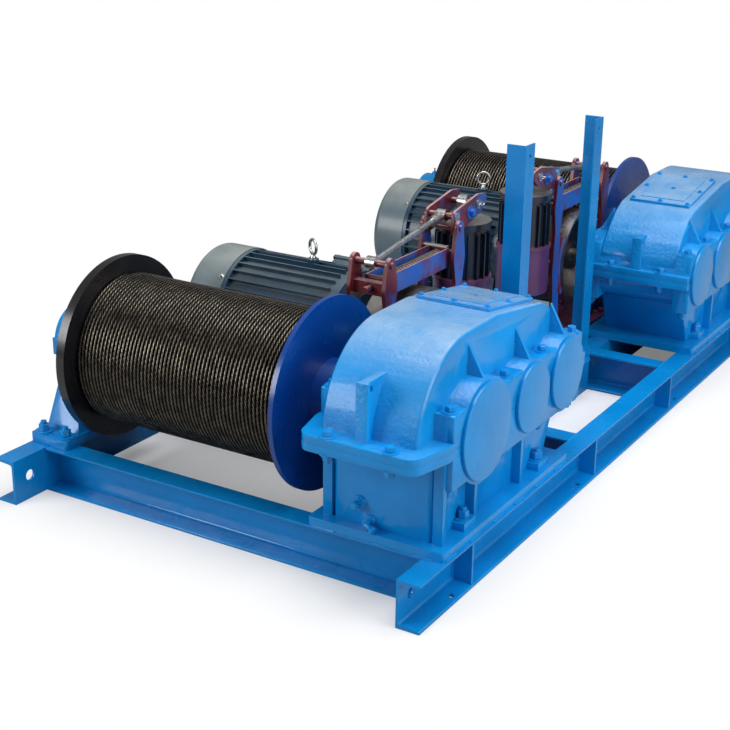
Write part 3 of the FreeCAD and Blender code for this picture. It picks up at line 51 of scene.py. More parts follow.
import bpy
import bmesh
from bpy.props import FloatProperty, FloatVectorProperty, IntProperty, PointerProperty
from mathutils import Matrix, Vector

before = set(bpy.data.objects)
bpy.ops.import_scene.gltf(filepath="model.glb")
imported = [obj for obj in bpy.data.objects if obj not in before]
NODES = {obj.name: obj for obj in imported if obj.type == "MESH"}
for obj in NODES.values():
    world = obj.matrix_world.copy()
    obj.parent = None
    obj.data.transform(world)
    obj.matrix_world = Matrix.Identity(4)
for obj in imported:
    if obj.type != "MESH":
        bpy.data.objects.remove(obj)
CAD_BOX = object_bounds()

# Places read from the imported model, in metres
DRUM_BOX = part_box("drum_1")
ROPE_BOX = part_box("rope_1")
WHEEL_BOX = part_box("brake_wheel_1")
DRUM_Y = (ROPE_BOX[0].y + ROPE_BOX[1].y) / 2
AXIS_Z = (ROPE_BOX[0].z + ROPE_BOX[1].z) / 2
MOTOR_Y = (WHEEL_BOX[0].y + WHEEL_BOX[1].y) / 2
ROPE_OUTER_R = (ROPE_BOX[1].z - ROPE_BOX[0].z) / 2
FLANGE_R = (DRUM_BOX[1].z - DRUM_BOX[0].z) / 2
BASE_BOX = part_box("gearbox_base_1")
BOX_X = (BASE_BOX[0].x + BASE_BOX[1].x) / 2
RAIL_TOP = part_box("rail_right")[1].z
BED_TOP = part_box("gearbox_bed_1")[1].z
PEDESTAL_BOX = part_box("pedestal_1")
BRAKE_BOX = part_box("brake_base_1")

# Distances of the castings and the brake that the fittings follow
INTER_Y = MOTOR_Y - 0.268
BOLTS_Y = (DRUM_Y - 0.175, (DRUM_Y + 0.168 + INTER_Y - 0.128) / 2, (INTER_Y + MOTOR_Y) / 2,
           MOTOR_Y + 0.101)
BOLT_REACH = 0.201
WALL_FACE = 0.2312
WALL_T = 0.069
WALL_TOP = AXIS_Z + 0.1115
WALL_BOTTOM = AXIS_Z - 0.1315
FLANGE_UP, FLANGE_DOWN = 0.522, 0.470
PAD_FACE = DRUM_Y - 0.228
CAP_X = -0.765
EYE_X = -0.198
EYE_Z = 0.731
BRAKE_X = 0.200
SPRING_Z = 0.752
TIE_PIN = (MOTOR_Y + 0.243, 0.900)
LIFT_PIN = (MOTOR_Y + 0.412, 0.915)
STAND_TOP = 0.640
HATCH_Y = (DRUM_Y + 0.190, MOTOR_Y - 0.069)
HATCH_Z = (0.800, 0.749)
POST_X = (0.395, 0.486)
POST_Y = (0.267, 0.358)


# Settings

def size(name, description, default):
    return FloatProperty(name=name, description=description, default=default, min=0.0, unit="LENGTH",
                         precision=4)


def power(name, description, default):
    return FloatProperty(name=name, description=description, default=default, min=0.0)


def colour(name, description, default):
    return FloatVectorProperty(name=name, description=description, default=default, size=3,
                               subtype="COLOR", min=0.0, max=1.0)


class WinchColours(bpy.types.PropertyGroup):
    """Paint and metal colours."""
    enamel: colour("Frame enamel", "Azure enamel on the frame, posts and pedestals", (0.002, 0.235, 0.62))
    casting: colour("Casting enamel", "Azure enamel on the gearboxes", (0.003, 0.265, 0.68))
    # Darker than the royal blue paint itself, as painted shade for the gearbox's shadow on the flanges.
    flange: colour("Flange blue", "Royal blue on the outer faces of the drum flanges", (0.001, 0.045, 0.25))
    rim: colour("Rim black", "Black paint on the rims and inner faces of the drum flanges", (0.006, 0.006, 0.008))
    cowl: colour("Cowl grey-teal", "Satin paint on the fan covers", (0.11, 0.155, 0.175))
    motor: colour("Motor slate", "Satin paint on the motor bodies", (0.010, 0.040, 0.078))
    oxide: colour("Brake maroon", "Oxide paint on the brake linkage", (0.115, 0.012, 0.018))
    overspray: colour("Overspray blue", "Blue paint that strayed on the brake linkage", (0.010, 0.12, 0.50))
    primer: colour("Primer red", "Red primer that shows where the paint is thin", (0.36, 0.065, 0.050))
    stand: colour("Stand purple", "Paint on the brake bases and the stands of the thrusters", (0.10, 0.030, 0.13))
    thruster: colour("Thruster navy", "Paint on the thrusters", (0.008, 0.014, 0.030))
    zinc: colour("Zinc", "Zinc plating on rods, pins and eye bolts", (0.60, 0.61, 0.60))
    steel: colour("Turned steel", "Bare turned steel on shafts and brake wheels", (0.30, 0.29, 0.28))
    # Nearly black: grease, darkened further as painted shade in the grooves between strands and turns.
    grease: colour("Greased rope", "Grease between the strands of the rope", (0.006, 0.005, 0.004))
    strand: colour("Rope steel", "Steel on the crowns of the strands", (0.46, 0.40, 0.31))


class RopeSettings(bpy.types.PropertyGroup):
    """The wound layer of wire rope on each drum."""
    turns: IntProperty(name="Turns", description="Turns of rope from flange to flange", default=54, min=2)
    rope_d: size("Rope diameter", "Diameter over the strands", 0.0155)
    groove: size("Strand groove", "Depth of the groove between two strands", 0.0020)
    strands: IntProperty(name="Strands", description="Outer strands of the rope", default=6, min=3)
    lay: size("Lay length", "Length of rope in which a strand goes once round", 0.104)
    sections: IntProperty(name="Sections per turn", description="Sections along one turn of rope", default=187, min=24)


class CastingSettings(bpy.types.PropertyGroup):
    """Rounded edges of the cast pieces."""
    edge: size("Cast edge", "Width of the rounding on cast edges", 0.0035)
    steel_edge: size("Steel edge", "Width of the rounding on rolled steel and plates", 0.0010)
    smooth: FloatProperty(name="Smooth angle", description="Edges flatter than this are shaded smooth",
                          default=math.radians(38), subtype="ANGLE")


class FastenerSettings(bpy.types.PropertyGroup):
    """Hexagon bolts: width across flats, and the parts that scale with it."""
    gearbox: size("Gearbox bolts", "Width across flats of the gearbox's bearing bolts", 0.027)
    foot: size("Foot bolts", "Width across flats of the foot bolts of gearboxes and pedestals", 0.033)
    small: size("Small bolts", "Width across flats of the small cover bolts", 0.012)


class FittingSettings(bpy.types.PropertyGroup):
    """Eye bolts, brake springs and weld beads."""
    eye_r: size("Eye ring radius", "Radius of the eye bolt's ring at the middle of its wire", 0.027)
    eye_wire: size("Eye ring wire", "Radius of the wire of the eye bolt's ring", 0.0055)
    coil_r: size("Spring radius", "Radius of the brake spring at the middle of its wire", 0.0250)
    wire: size("Spring wire", "Diameter of the brake spring's wire", 0.0075)
    coils: IntProperty(name="Spring coils", description="Turns of the brake spring", default=24, min=3)
    bead: size("Weld bead", "Radius of the weld beads on the frame", 0.0045)


class StudioSettings(bpy.types.PropertyGroup):
    """Floor, light and camera."""
    floor: size("Floor size", "Length of the floor's sides", 60.0)
    white: colour("Floor white", "Colour of the floor", (0.86, 0.87, 0.88))
    sky: power("Fill strength", "Even light from all round", 0.24)
    key: power("Key power", "Power of the soft light over the front left", 170.0)
    top: power("Top power", "Power of the soft light overhead", 345.0)
    side: power("Side power", "Power of the soft light at the right", 215.0)


# Small helpers for working by operator

def pick(*pieces):
    """Selects only these objects, and makes the first one active."""
    bpy.ops.object.select_all(action="DESELECT")
    for piece in pieces:
        piece.select_set(True)
    bpy.context.view_layer.objects.active = pieces[0]
    return pieces[0]


def settle(piece):
    """Puts the object at the origin, unturned and unscaled, with its place in its mesh."""
    pick(piece)
    bpy.ops.object.transform_apply(location=True, rotation=True, scale=True)
    return piece


def named(piece, name):
    piece.name = name
    piece.data.name = name
    return piece


def copy_of(piece, name):
    """A copy with its own mesh."""
    pick(piece)
    bpy.ops.object.duplicate(linked=False)
    return named(bpy.context.active_object, name)


def joined(pieces, name):
    pick(*pieces)
    if len(pieces) > 1:
        bpy.ops.object.join()
    return named(settle(bpy.context.active_object), name)


def removed(piece):
    pick(piece)
    bpy.ops.object.delete()


def apply_all(piece):
    pick(piece)
    for modifier in list(piece.modifiers):
        bpy.ops.object.modifier_apply(modifier=modifier.name)
    return piece


def outward(piece):
    """Merges doubles and turns every face outwards."""
    pick(piece)
    bpy.ops.object.mode_set(mode="EDIT")
    bpy.ops.mesh.select_all(action="SELECT")
    bpy.ops.mesh.remove_doubles(threshold=0.00001)
    bpy.ops.mesh.normals_make_consistent(inside=False)
    bpy.ops.object.mode_set(mode="OBJECT")
    return piece


def closed(piece):
    """Fills the open ends."""
    pick(piece)
    bpy.ops.object.mode_set(mode="EDIT")
    bpy.ops.mesh.select_all(action="SELECT")
    bpy.ops.mesh.fill_holes(sides=0)
    bpy.ops.object.mode_set(mode="OBJECT")
    return piece


def smooth(piece, angle=math.radians(38)):
    pick(piece)
    bpy.ops.object.shade_smooth_by_angle(angle=angle)
    return piece


def behind(piece, name):
    """The same piece on unit 2, which is the mirror image of unit 1, with its faces outwards again."""
    other = copy_of(piece, name)
    bpy.ops.transform.resize(value=(1, -1, 1), center_override=(0, 0, 0))
    settle(other)
    bpy.ops.object.mode_set(mode="EDIT")
    bpy.ops.mesh.select_all(action="SELECT")
    if bmesh.from_edit_mesh(other.data).calc_volume(signed=True) < 0:
        bpy.ops.mesh.flip_normals()
    bpy.ops.object.mode_set(mode="OBJECT")
    return other


def finish_piece(piece, material, body="frame"):
    """Gives a finished piece its material and the body that carries it."""
    piece.data.materials.clear()
    piece.data.materials.append(material)
    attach(piece, body)
    return piece


# Materials

class Paint:
    """Builds one material node by node."""

    def __init__(self, name):
        self.material = bpy.data.materials.new(name)
        self.material.use_nodes = True
        self.tree = self.material.node_tree
        self.tree.nodes.clear()
        self.surface = self.add("ShaderNodeBsdfPrincipled")
        output = self.add("ShaderNodeOutputMaterial")
        self.link(self.surface.outputs[0], output.inputs["Surface"])
        self.place = self.add("ShaderNodeTexCoord")

    def add(self, kind, **values):
        node = self.tree.nodes.new(kind)
        for key, value in values.items():
            setattr(node, key, value)
        return node

    def link(self, output, target):
        self.tree.links.new(output, target)

    def set(self, **values):
        for key, value in values.items():
            self.surface.inputs[key.replace("_", " ")].default_value = value
        return self

    def noise(self, scale, detail=3.0, rough=0.5, stretch=None):
        vector = self.place.outputs["Object"]
        if stretch:
            mapping = self.add("ShaderNodeMapping")
            mapping.inputs["Scale"].default_value = stretch
            self.link(vector, mapping.inputs["Vector"])
            vector = mapping.outputs[0]
        node = self.add("ShaderNodeTexNoise")
        node.inputs["Scale"].default_value = scale
        node.inputs["Detail"].default_value = detail
        node.inputs["Roughness"].default_value = rough
        self.link(vector, node.inputs["Vector"])
        return node.outputs[0]

    def ranged(self, value, low, high, to_low=0.0, to_high=1.0):
        node = self.add("ShaderNodeMapRange")
        for key, number in (("From Min", low), ("From Max", high), ("To Min", to_low), ("To Max", to_high)):
            node.inputs[key].default_value = number
        self.link(value, node.inputs["Value"])
        return node.outputs[0]

    def math(self, operation, a, b=None):
        node = self.add("ShaderNodeMath", operation=operation)
        for index, value in enumerate((a, b)):
            if value is None:
                continue
            if isinstance(value, (int, float)):
                node.inputs[index].default_value = value
            else:
                self.link(value, node.inputs[index])
        return node.outputs[0]

    def axes(self, source="Object"):
        node = self.add("ShaderNodeSeparateXYZ")
        self.link(self.place.outputs[source], node.inputs[0])
        return node.outputs

    def mix(self, factor, a, b):
        node = self.add("ShaderNodeMix", data_type="RGBA")
        for index, value in ((0, factor), (6, a), (7, b)):
            if hasattr(value, "is_linked"):
                self.link(value, node.inputs[index])
            elif index == 0:
                node.inputs[0].default_value = value
            else:
                node.inputs[index].default_value = (*value, 1.0)
        return node.outputs[2]

    def colour(self, value):
        self.link(value, self.surface.inputs["Base Color"])
        return self

    def bump(self, heights, strength=1.0):
        """Bump from (height, metres) pairs, one after the other."""
        normal = None
        for height, distance in heights:
            node = self.add("ShaderNodeBump")
            node.inputs["Strength"].default_value = strength
            node.inputs["Distance"].default_value = distance
            self.link(height, node.inputs["Height"])
            if normal:
                self.link(normal, node.inputs["Normal"])
            normal = node.outputs[0]
        self.link(normal, self.surface.inputs["Normal"])
        return self


def shade(rgb, factor):
    return tuple(min(1.0, channel * factor) for channel in rgb)


def paler_upward(paint, base, upward_tint, amount, above=0.0):
    """A tint in patches on faces that look up and lie above a height; on the gearbox covers it is a painted reflection
    of the light overhead.
    """
    up = paint.ranged(paint.axes("Normal")[2], 0.55, 0.95)
    if above:
        up = paint.math("MULTIPLY", up, paint.ranged(paint.axes()[2], above, above + 0.10))
    patches = paint.ranged(paint.noise(6.0, 5.0, 0.6), 0.3, 0.62, 0.35, 1.0)
    return paint.mix(paint.math("MULTIPLY", paint.math("MULTIPLY", up, patches), amount), base, upward_tint)


def enamel(name, rgb, lumps, roughness=0.2, upward_tint=(0.30, 0.42, 0.55), amount=0.0, sparkle=0.0, above=0.0):
    """Thick gloss enamel. lumps is the height of its unevenness in metres, sparkle of its fine roughness."""
    paint = Paint(name)
    cloud = paint.ranged(paint.noise(3.0, 4.0), 0.35, 0.65)
    base = paint.mix(cloud, shade(rgb, 0.86), shade(rgb, 1.10))
    paint.colour(paler_upward(paint, base, upward_tint, amount, above))
    paint.link(paint.ranged(paint.noise(9.0, 4.0), 0.3, 0.7, roughness * 0.7, roughness * 1.5),
               paint.surface.inputs["Roughness"])
    paint.set(Coat_Weight=0.30, Coat_Roughness=0.08, Specular_IOR_Level=0.35)
    heights = [(paint.noise(22.0, 3.0, 0.55), lumps), (paint.noise(160.0, 2.0), lumps * 0.12)]
    if sparkle:
        ends = paint.ranged(paint.math("ABSOLUTE", paint.axes("Normal")[0]), 0.3, 0.8, 1.0, 0.0)
        heights.append((paint.math("MULTIPLY", paint.noise(75.0, 4.0, 0.65), ends), sparkle))
    paint.bump(heights)
    return paint.material


def satin(name, rgb, roughness=0.42, lumps=0.0002, upward_tint=(0.30, 0.33, 0.33), amount=0.0):
    paint = Paint(name)
    cloud = paint.ranged(paint.noise(5.0, 4.0), 0.35, 0.65)
    base = paint.mix(cloud, shade(rgb, 0.8), shade(rgb, 1.15))
    paint.colour(paler_upward(paint, base, upward_tint, amount))
    paint.set(Roughness=roughness, Coat_Weight=0.25, Coat_Roughness=0.2)
    paint.bump(((paint.noise(60.0, 3.0), lumps),))
    return paint.material


def thruster_paint(colours):
    """Navy body above the stand's flange, purple stand with red primer showing below it."""
    paint = Paint("thruster_paint")
    low = paint.math("LESS_THAN", paint.axes()[2], STAND_TOP - 0.006)
    bare = paint.ranged(paint.noise(7.0, 4.0), 0.56, 0.66)
    stand = paint.mix(bare, colours.stand, colours.primer)
    cloud = paint.ranged(paint.noise(6.0, 4.0), 0.35, 0.65)
    body = paint.mix(cloud, shade(colours.thruster, 0.7), shade(colours.thruster, 1.4))
    paint.colour(paint.mix(low, paler_upward(paint, body, (0.20, 0.19, 0.17), 0.8), stand))
    paint.set(Roughness=0.34, Coat_Weight=0.3, Coat_Roughness=0.15)
    paint.bump(((paint.noise(60.0, 3.0), 0.0003),))
    return paint.material


def bare_metal(name, rgb, roughness=0.32, scale=90.0):
    paint = Paint(name)
    cloud = paint.ranged(paint.noise(scale * 0.2, 4.0), 0.3, 0.7)
    paint.colour(paint.mix(cloud, shade(rgb, 0.7), shade(rgb, 1.1)))
    paint.link(paint.ranged(paint.noise(scale, 4.0), 0.3, 0.7, roughness * 0.8, roughness * 1.4),
               paint.surface.inputs["Roughness"])
    paint.set(Metallic=1.0)
    return paint.material


def oversprayed(name, rgb, over, low=0.45):
    """Maroon linkage with blue overspray on the sides that face the gearboxes. A high low leaves less of it."""
    paint = Paint(name)
    facing = paint.axes("Normal")[0]
    patchy = paint.math("ADD", facing, paint.ranged(paint.noise(9.0, 5.0), 0.25, 0.75, -0.45, 0.45))
    mask = paint.ranged(patchy, low, low + 0.30)
    cloud = paint.ranged(paint.noise(14.0, 4.0), 0.3, 0.7)
    base = paler_upward(paint, paint.mix(cloud, shade(rgb, 0.75), shade(rgb, 1.35)), (0.55, 0.34, 0.34), 0.9)
    film = paint.mix(paint.ranged(paint.noise(5.0, 4.0), 0.35, 0.65), over, (0.045, 0.085, 0.34))
    paint.colour(paint.mix(mask, base, film))
    paint.set(Roughness=0.38, Coat_Weight=0.3, Coat_Roughness=0.15)
    paint.bump(((paint.noise(70.0, 3.0), 0.0003),))
    return paint.material


def drum_radius(paint, y, z):
    """Distance from the axis of the nearer drum."""
    off = paint.math("SUBTRACT", paint.math("ABSOLUTE", y), abs(DRUM_Y))
    up = paint.math("SUBTRACT", z, AXIS_Z)
    squares = paint.math("ADD", paint.math("MULTIPLY", off, off), paint.math("MULTIPLY", up, up))
    return paint.math("SQRT", squares)


def drum_paint(colours):
    """Black rims and inner faces, outer faces in royal blue darkened as painted shade, and bare steel on the shaft."""
    paint = Paint("drum_paint")
    x, y, z = paint.axes()
    facing = paint.axes("Normal")[0]
    right = paint.math("GREATER_THAN", x, ROPE_BOX[1].x + 0.0035)
    left = paint.math("MULTIPLY", paint.math("LESS_THAN", x, ROPE_BOX[0].x - 0.003),
                      paint.math("LESS_THAN", facing, -0.5))
    shaft = paint.math("LESS_THAN", drum_radius(paint, y, z), 0.0505)
    blue = paint.math("MAXIMUM", right, left)
    # The flange blue is darkened as painted shade.
    coat = paint.mix(blue, colours.rim, colours.flange)
    paint.colour(paint.mix(shaft, coat, colours.steel))
    paint.link(paint.ranged(shaft, 0, 1, 0.0, 1.0), paint.surface.inputs["Metallic"])
    paint.link(paint.ranged(paint.noise(12.0, 4.0), 0.3, 0.7, 0.22, 0.4), paint.surface.inputs["Roughness"])
    paint.set(Coat_Weight=0.4, Coat_Roughness=0.15)
    paint.bump(((paint.noise(9.0, 2.0), 0.0003),))
    return paint.material


def rope_steel(colours):
    """Greased steel wire: steel colour on the outer crowns of the strands, dark grease below them that is also painted
    shade in the grooves and between turns.
    """
    paint = Paint("rope_steel")
    _, y, z = paint.axes()
    # Only the outermost 2.6 mm of each turn gets the steel colour; the rest is grease and painted shade.
    crown = paint.ranged(drum_radius(paint, y, z), ROPE_OUTER_R - 0.0026, ROPE_OUTER_R - 0.0006)
    worn = paint.ranged(paint.noise(30.0, 5.0, 0.6), 0.3, 0.65, 0.15, 1.0)
    paint.colour(paint.mix(paint.math("MULTIPLY", crown, worn), colours.grease, colours.strand))
    paint.link(paint.ranged(paint.noise(60.0, 3.0), 0.3, 0.7, 0.26, 0.42), paint.surface.inputs["Roughness"])
    paint.set(Metallic=0.8)
    return paint.material


MATERIALS = {}


class WINCH_OT_paint(bpy.types.Operator):
    """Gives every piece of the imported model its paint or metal"""
    bl_idname = "winch.paint"
    bl_label = "Paint the winch"

    def execute(self, context):
        c = context.scene.winch_colours
        MATERIALS.update({
            "enamel": enamel("frame_enamel", c.enamel, 0.0009, 0.22),
            "casting": enamel("casting_enamel", c.casting, 0.0022, 0.16),
            # The pale blue tint on the cover's upward faces above 0.66 m is a painted reflection of the light
            # overhead.
            "cover": enamel("cover_enamel", c.casting, 0.0022, 0.15, (0.30, 0.45, 0.62), 0.75, 0.0034, 0.66),
            "bolt": enamel("bolt_enamel", c.casting, 0.0006, 0.18),
            "drum": drum_paint(c),
            "rope": rope_steel(c),
            "cowl": satin("cowl_paint", c.cowl, 0.36, 0.0002, (0.42, 0.42, 0.39), 0.5),
            "motor": satin("motor_paint", c.motor, 0.34, 0.0004, (0.13, 0.17, 0.18), 0.75),
            "linkage": oversprayed("linkage_paint", c.oxide, c.overspray, 0.70),
            "lever": oversprayed("lever_paint", c.oxide, c.overspray, 1.02),
            "stand": satin("stand_paint", c.stand, 0.4, 0.0005, c.primer, 0.4),
            "dusty": satin("dusty_plate", (0.40, 0.36, 0.33), 0.55, 0.0004),
            "overspray": satin("oversprayed_bolts", c.overspray, 0.35, 0.0004),
            "thruster": thruster_paint(c),
            "zinc": bare_metal("zinc_plate", c.zinc, 0.30),
            "steel": bare_metal("turned_steel", c.steel, 0.36),
            "dark": bare_metal("spring_steel", shade(c.steel, 0.5), 0.36),
        })
        groups = {
            "enamel": ("rail_", "crossbeam", "inner_rails", "motor_bearers", "motor_plinths", "post_",
                       "pedestal"),
            "casting": ("gearbox_b", "bearing_covers"), "cover": ("gearbox_cover", "inspection_cover"),
            "drum": ("drum_",), "rope": ("rope_",), "cowl": ("fan_cover",),
            "motor": ("motor_1", "motor_2", "motor_fan"),
            "linkage": ("brake_rear_arm", "brake_spring"), "lever": ("brake_front_arm", "brake_lever"),
            "stand": ("brake_base",), "zinc": ("brake_tie_rod", "brake_thruster_rod"),
            "thruster": ("brake_thruster_1", "brake_thruster_2"), "steel": ("brake_wheel",),
        }
        for key, starts in groups.items():
            for name, node in NODES.items():
                if name.startswith(starts):
                    node.data.materials.clear()
                    node.data.materials.append(MATERIALS[key])
        return {"FINISHED"}


# Wire rope

def helix_curve(x0, pitch, turns, radius, steps=96):
    """A curve that winds round the drum's axis, made from one point by a screw."""
    bpy.ops.object.select_all(action="DESELECT")
    bpy.ops.mesh.primitive_circle_add(vertices=3, radius=radius, location=(0, 0, 0))
    thread = bpy.context.active_object
    bpy.ops.object.mode_set(mode="EDIT")
    bpy.ops.mesh.select_all(action="SELECT")
    bpy.ops.mesh.merge(type="CENTER")
    bpy.ops.transform.translate(value=(0, 0, radius))
    bpy.ops.object.mode_set(mode="OBJECT")
    screw = thread.modifiers.new("Wind", "SCREW")
    screw.axis = "X"
    screw.angle = 2 * math.pi
    screw.screw_offset = pitch
    screw.iterations = turns
    screw.steps = screw.render_steps = steps
    apply_all(thread)
    thread.location = (x0, DRUM_Y, AXIS_Z)
    settle(thread)
    bpy.ops.object.convert(target="CURVE")
    return bpy.context.active_object


def straight_rope(rope, length, sections):
    """Twisted rope along X: a ring of crowns and grooves, screwed along its own axis."""
    count = 2 * rope.strands
    bpy.ops.object.select_all(action="DESELECT")
    bpy.ops.mesh.primitive_circle_add(vertices=count, radius=rope.rope_d / 2, rotation=(0, math.pi / 2, 0))
    ring = settle(bpy.context.active_object)
    bpy.ops.object.mode_set(mode="EDIT")
    mesh = bmesh.from_edit_mesh(ring.data)
    mesh.verts.ensure_lookup_table()
    order = sorted(mesh.verts, key=lambda v: math.atan2(v.co.z, v.co.y))
    for vert in mesh.verts:
        vert.select_set(False)
    for vert in order[::2]:
        vert.select_set(True)
    mesh.select_flush_mode()
    bmesh.update_edit_mesh(ring.data)
    bpy.ops.mesh.select_mode(type="VERT")
    factor = 1 - 2 * rope.groove / rope.rope_d
    bpy.ops.transform.resize(value=(factor, factor, factor), center_override=(0, 0, 0))
    bpy.ops.object.mode_set(mode="OBJECT")
    screw = ring.modifiers.new("Lay", "SCREW")
    screw.axis = "X"
    screw.angle = -2 * math.pi * length / rope.lay
    screw.screw_offset = length
    screw.iterations = 1
    screw.steps = screw.render_steps = sections
    screw.use_merge_vertices = False
    return closed(apply_all(ring))


class WINCH_OT_rope(bpy.types.Operator):
    """Winds the outer layer of wire rope on both drums"""
    bl_idname = "winch.rope"
    bl_label = "Wind the rope"

    def execute(self, context):
        rope = context.scene.winch_rope
        x0 = ROPE_BOX[0].x
        span = ROPE_BOX[1].x - x0 - rope.rope_d
        pitch = span / rope.turns
        radius = ROPE_OUTER_R - rope.rope_d / 2
        half = rope.turns // 2
        for part, turns in enumerate((half, rope.turns - half)):
            start = x0 + rope.rope_d / 2 + part * half * pitch
            path = helix_curve(start, pitch, turns, radius)
            length = turns * math.hypot(2 * math.pi * radius, pitch)
            cable = straight_rope(rope, length, rope.sections * turns)
            bend = cable.modifiers.new("Wind", "CURVE")
            bend.object = path
            bend.deform_axis = "POS_X"
            apply_all(cable)
            removed(path)
            pick(cable)
            bpy.ops.object.shade_smooth()
            outward(cable)
            named(cable, "wire_rope_1_%d" % (part + 1))
            other = copy_of(cable, "wire_rope_2_%d" % (part + 1))
            bpy.ops.transform.translate(value=(0, -2 * DRUM_Y, 0))
            settle(other)
            for number, piece in ((1, cable), (2, other)):
                finish_piece(piece, MATERIALS["rope"], "drum_%d" % number)
                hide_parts("rope_%d" % number)
        return {"FINISHED"}


# Castings

class WINCH_OT_castings(bpy.types.Operator):
    """Rounds the edges of the cast gearboxes and pedestals"""
    bl_idname = "winch.castings"
    bl_label = "Round the castings"

    def execute(self, context):
        cast = context.scene.winch_casting
        for stem, key in (("gearbox_base", "casting"), ("gearbox_cover", "cover"), ("pedestal", "enamel"),
                          ("pedestal_cap", "enamel"), ("bearing_covers", "casting")):
            node = stem + "_1"
            piece = copy_of(NODES[node], "cast_" + node)
            piece.parent = None
            outward(piece)
            bpy.ops.object.mode_set(mode="EDIT")
            bpy.ops.mesh.select_all(action="SELECT")
            bpy.ops.mesh.dissolve_limited(angle_limit=math.radians(1.0))
            bpy.ops.object.mode_set(mode="OBJECT")
            bevel = piece.modifiers.new("Cast edge", "BEVEL")
            bevel.width = cast.edge
            bevel.segments = 2
            bevel.limit_method = "ANGLE"
            bevel.angle_limit = math.radians(34)
            bevel.use_clamp_overlap = True
            bevel.harden_normals = False
            apply_all(piece)
            smooth(piece, cast.smooth)
            other = behind(piece, "cast_" + stem + "_2")
            smooth(other, cast.smooth)
            for number, casting in ((1, piece), (2, other)):
                finish_piece(casting, MATERIALS[key])
                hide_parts("%s_%d" % (stem, number))
        return {"FINISHED"}


class WINCH_OT_edges(bpy.types.Operator):
    """Rounds the edges of the frame and joins the gearbox bosses by walls"""
    bl_idname = "winch.edges"
    bl_label = "Round the frame"

    def execute(self, context):
        cast = context.scene.winch_casting
        for name, node in NODES.items():
            if name.startswith(("rail_", "crossbeam", "post_", "gearbox_bed", "inspection_cover",
                                "brake_front_arm", "brake_rear_arm", "brake_lever", "motor_plinths")):
                join = node.modifiers.new("Join", "WELD")
                join.merge_threshold = 0.00002
                round_off = node.modifiers.new("Soft edge", "BEVEL")
                round_off.width = cast.steel_edge
                round_off.segments = 2
                round_off.limit_method = "ANGLE"
                round_off.angle_limit = math.radians(50)
        length, middle = BOLTS_Y[-1] - BOLTS_Y[0] + 0.057, (BOLTS_Y[0] + BOLTS_Y[-1]) / 2
        for low, high, name in ((AXIS_Z + 0.021, WALL_TOP, "upper"), (WALL_BOTTOM, AXIS_Z - 0.020, "lower")):
            walls = [rounded_plate((WALL_T, length, high - low),
                                   (BOX_X + side * (WALL_FACE - WALL_T / 2), middle, (low + high) / 2),
                                   cast.edge * 2) for side in (-1, 1)]
            piece = smooth(joined(walls, "bearing_walls_%s_1" % name), math.radians(40))
            other = smooth(behind(piece, "bearing_walls_%s_2" % name), math.radians(40))
            for wall in (piece, other):
                finish_piece(wall, MATERIALS["casting"], "frame")
        return {"FINISHED"}


# Fasteners

def hexagon(flats, height, z):
    """Hexagon with a chamfered top, standing on z."""
    bpy.ops.object.select_all(action="DESELECT")
    bpy.ops.mesh.primitive_cylinder_add(vertices=6, radius=flats / math.sqrt(3), depth=height,
                                        location=(0, 0, z + height / 2))
    head = settle(bpy.context.active_object)
    bevel = head.modifiers.new("Chamfer", "BEVEL")
    bevel.width = flats * 0.05
    bevel.segments = 1
    bevel.limit_method = "ANGLE"
    bevel.angle_limit = math.radians(70)
    return apply_all(head)


def disc(radius, height, z, sides=20):
    bpy.ops.object.select_all(action="DESELECT")
    bpy.ops.mesh.primitive_cylinder_add(vertices=sides, radius=radius, depth=height, location=(0, 0, z + height / 2))
    return settle(bpy.context.active_object)


def bolt_head(flats):
    """Washer and bolt head that sit on z = 0."""
    washer = disc(flats * 0.95, flats * 0.13, 0)
    return smooth(joined([washer, hexagon(flats, flats * 0.62, flats * 0.13)], "bolt"), math.radians(30))


def nut_and_end(flats):
    """Washer, nut and the end of the bolt that sit on z = 0."""
    washer = disc(flats * 0.95, flats * 0.13, 0)
    end = disc(flats * 0.32, flats * 0.35, flats * 0.85, 14)
    return smooth(joined([washer, hexagon(flats, flats * 0.75, flats * 0.13), end], "nut"), math.radians(30))


def aimed(point, axis):
    """Place at the point, with Z along the axis."""
    return Matrix.Translation(Vector(point)) @ Vector(axis).to_track_quat("Z", "Y").to_matrix().to_4x4()


def spread(template, places, name, turn=0.4):
    """Copies of the template at (point, axis) places, joined to one piece."""
    copies = []
    for number, (point, axis) in enumerate(places):
        piece = copy_of(template, name)
        spin = Matrix.Rotation(turn * number, 4, "Z")
        piece.matrix_world = aimed(point, axis) @ spin
        settle(piece)
        copies.append(piece)
    return joined(copies, name)


def on_unit(places, number):
    """The same places on unit 1 or on its mirror image, unit 2."""
    side = 1 if number == 1 else -1
    return [((p[0], side * p[1], p[2]), (a[0], side * a[1], a[2])) for p, a in places]


UP, DOWN = (0, 0, 1), (0, 0, -1)


def gearbox_bolts():
    """Bearing bolts on the columns and the bolts of the joint flange's ends, above and below."""
    tops, nuts = [], []
    for side in (-1, 1):
        for y in BOLTS_Y:
            tops.append(((BOX_X + side * BOLT_REACH, y, WALL_TOP), UP))
            nuts.append(((BOX_X + side * BOLT_REACH, y, WALL_BOTTOM), DOWN))
        for y in (BASE_BOX[0].y + 0.022, BASE_BOX[1].y - 0.024):
            tops.append(((BOX_X + side * 0.107, y, FLANGE_UP), UP))
            nuts.append(((BOX_X + side * 0.107, y, FLANGE_DOWN), DOWN))
    return tops, nuts


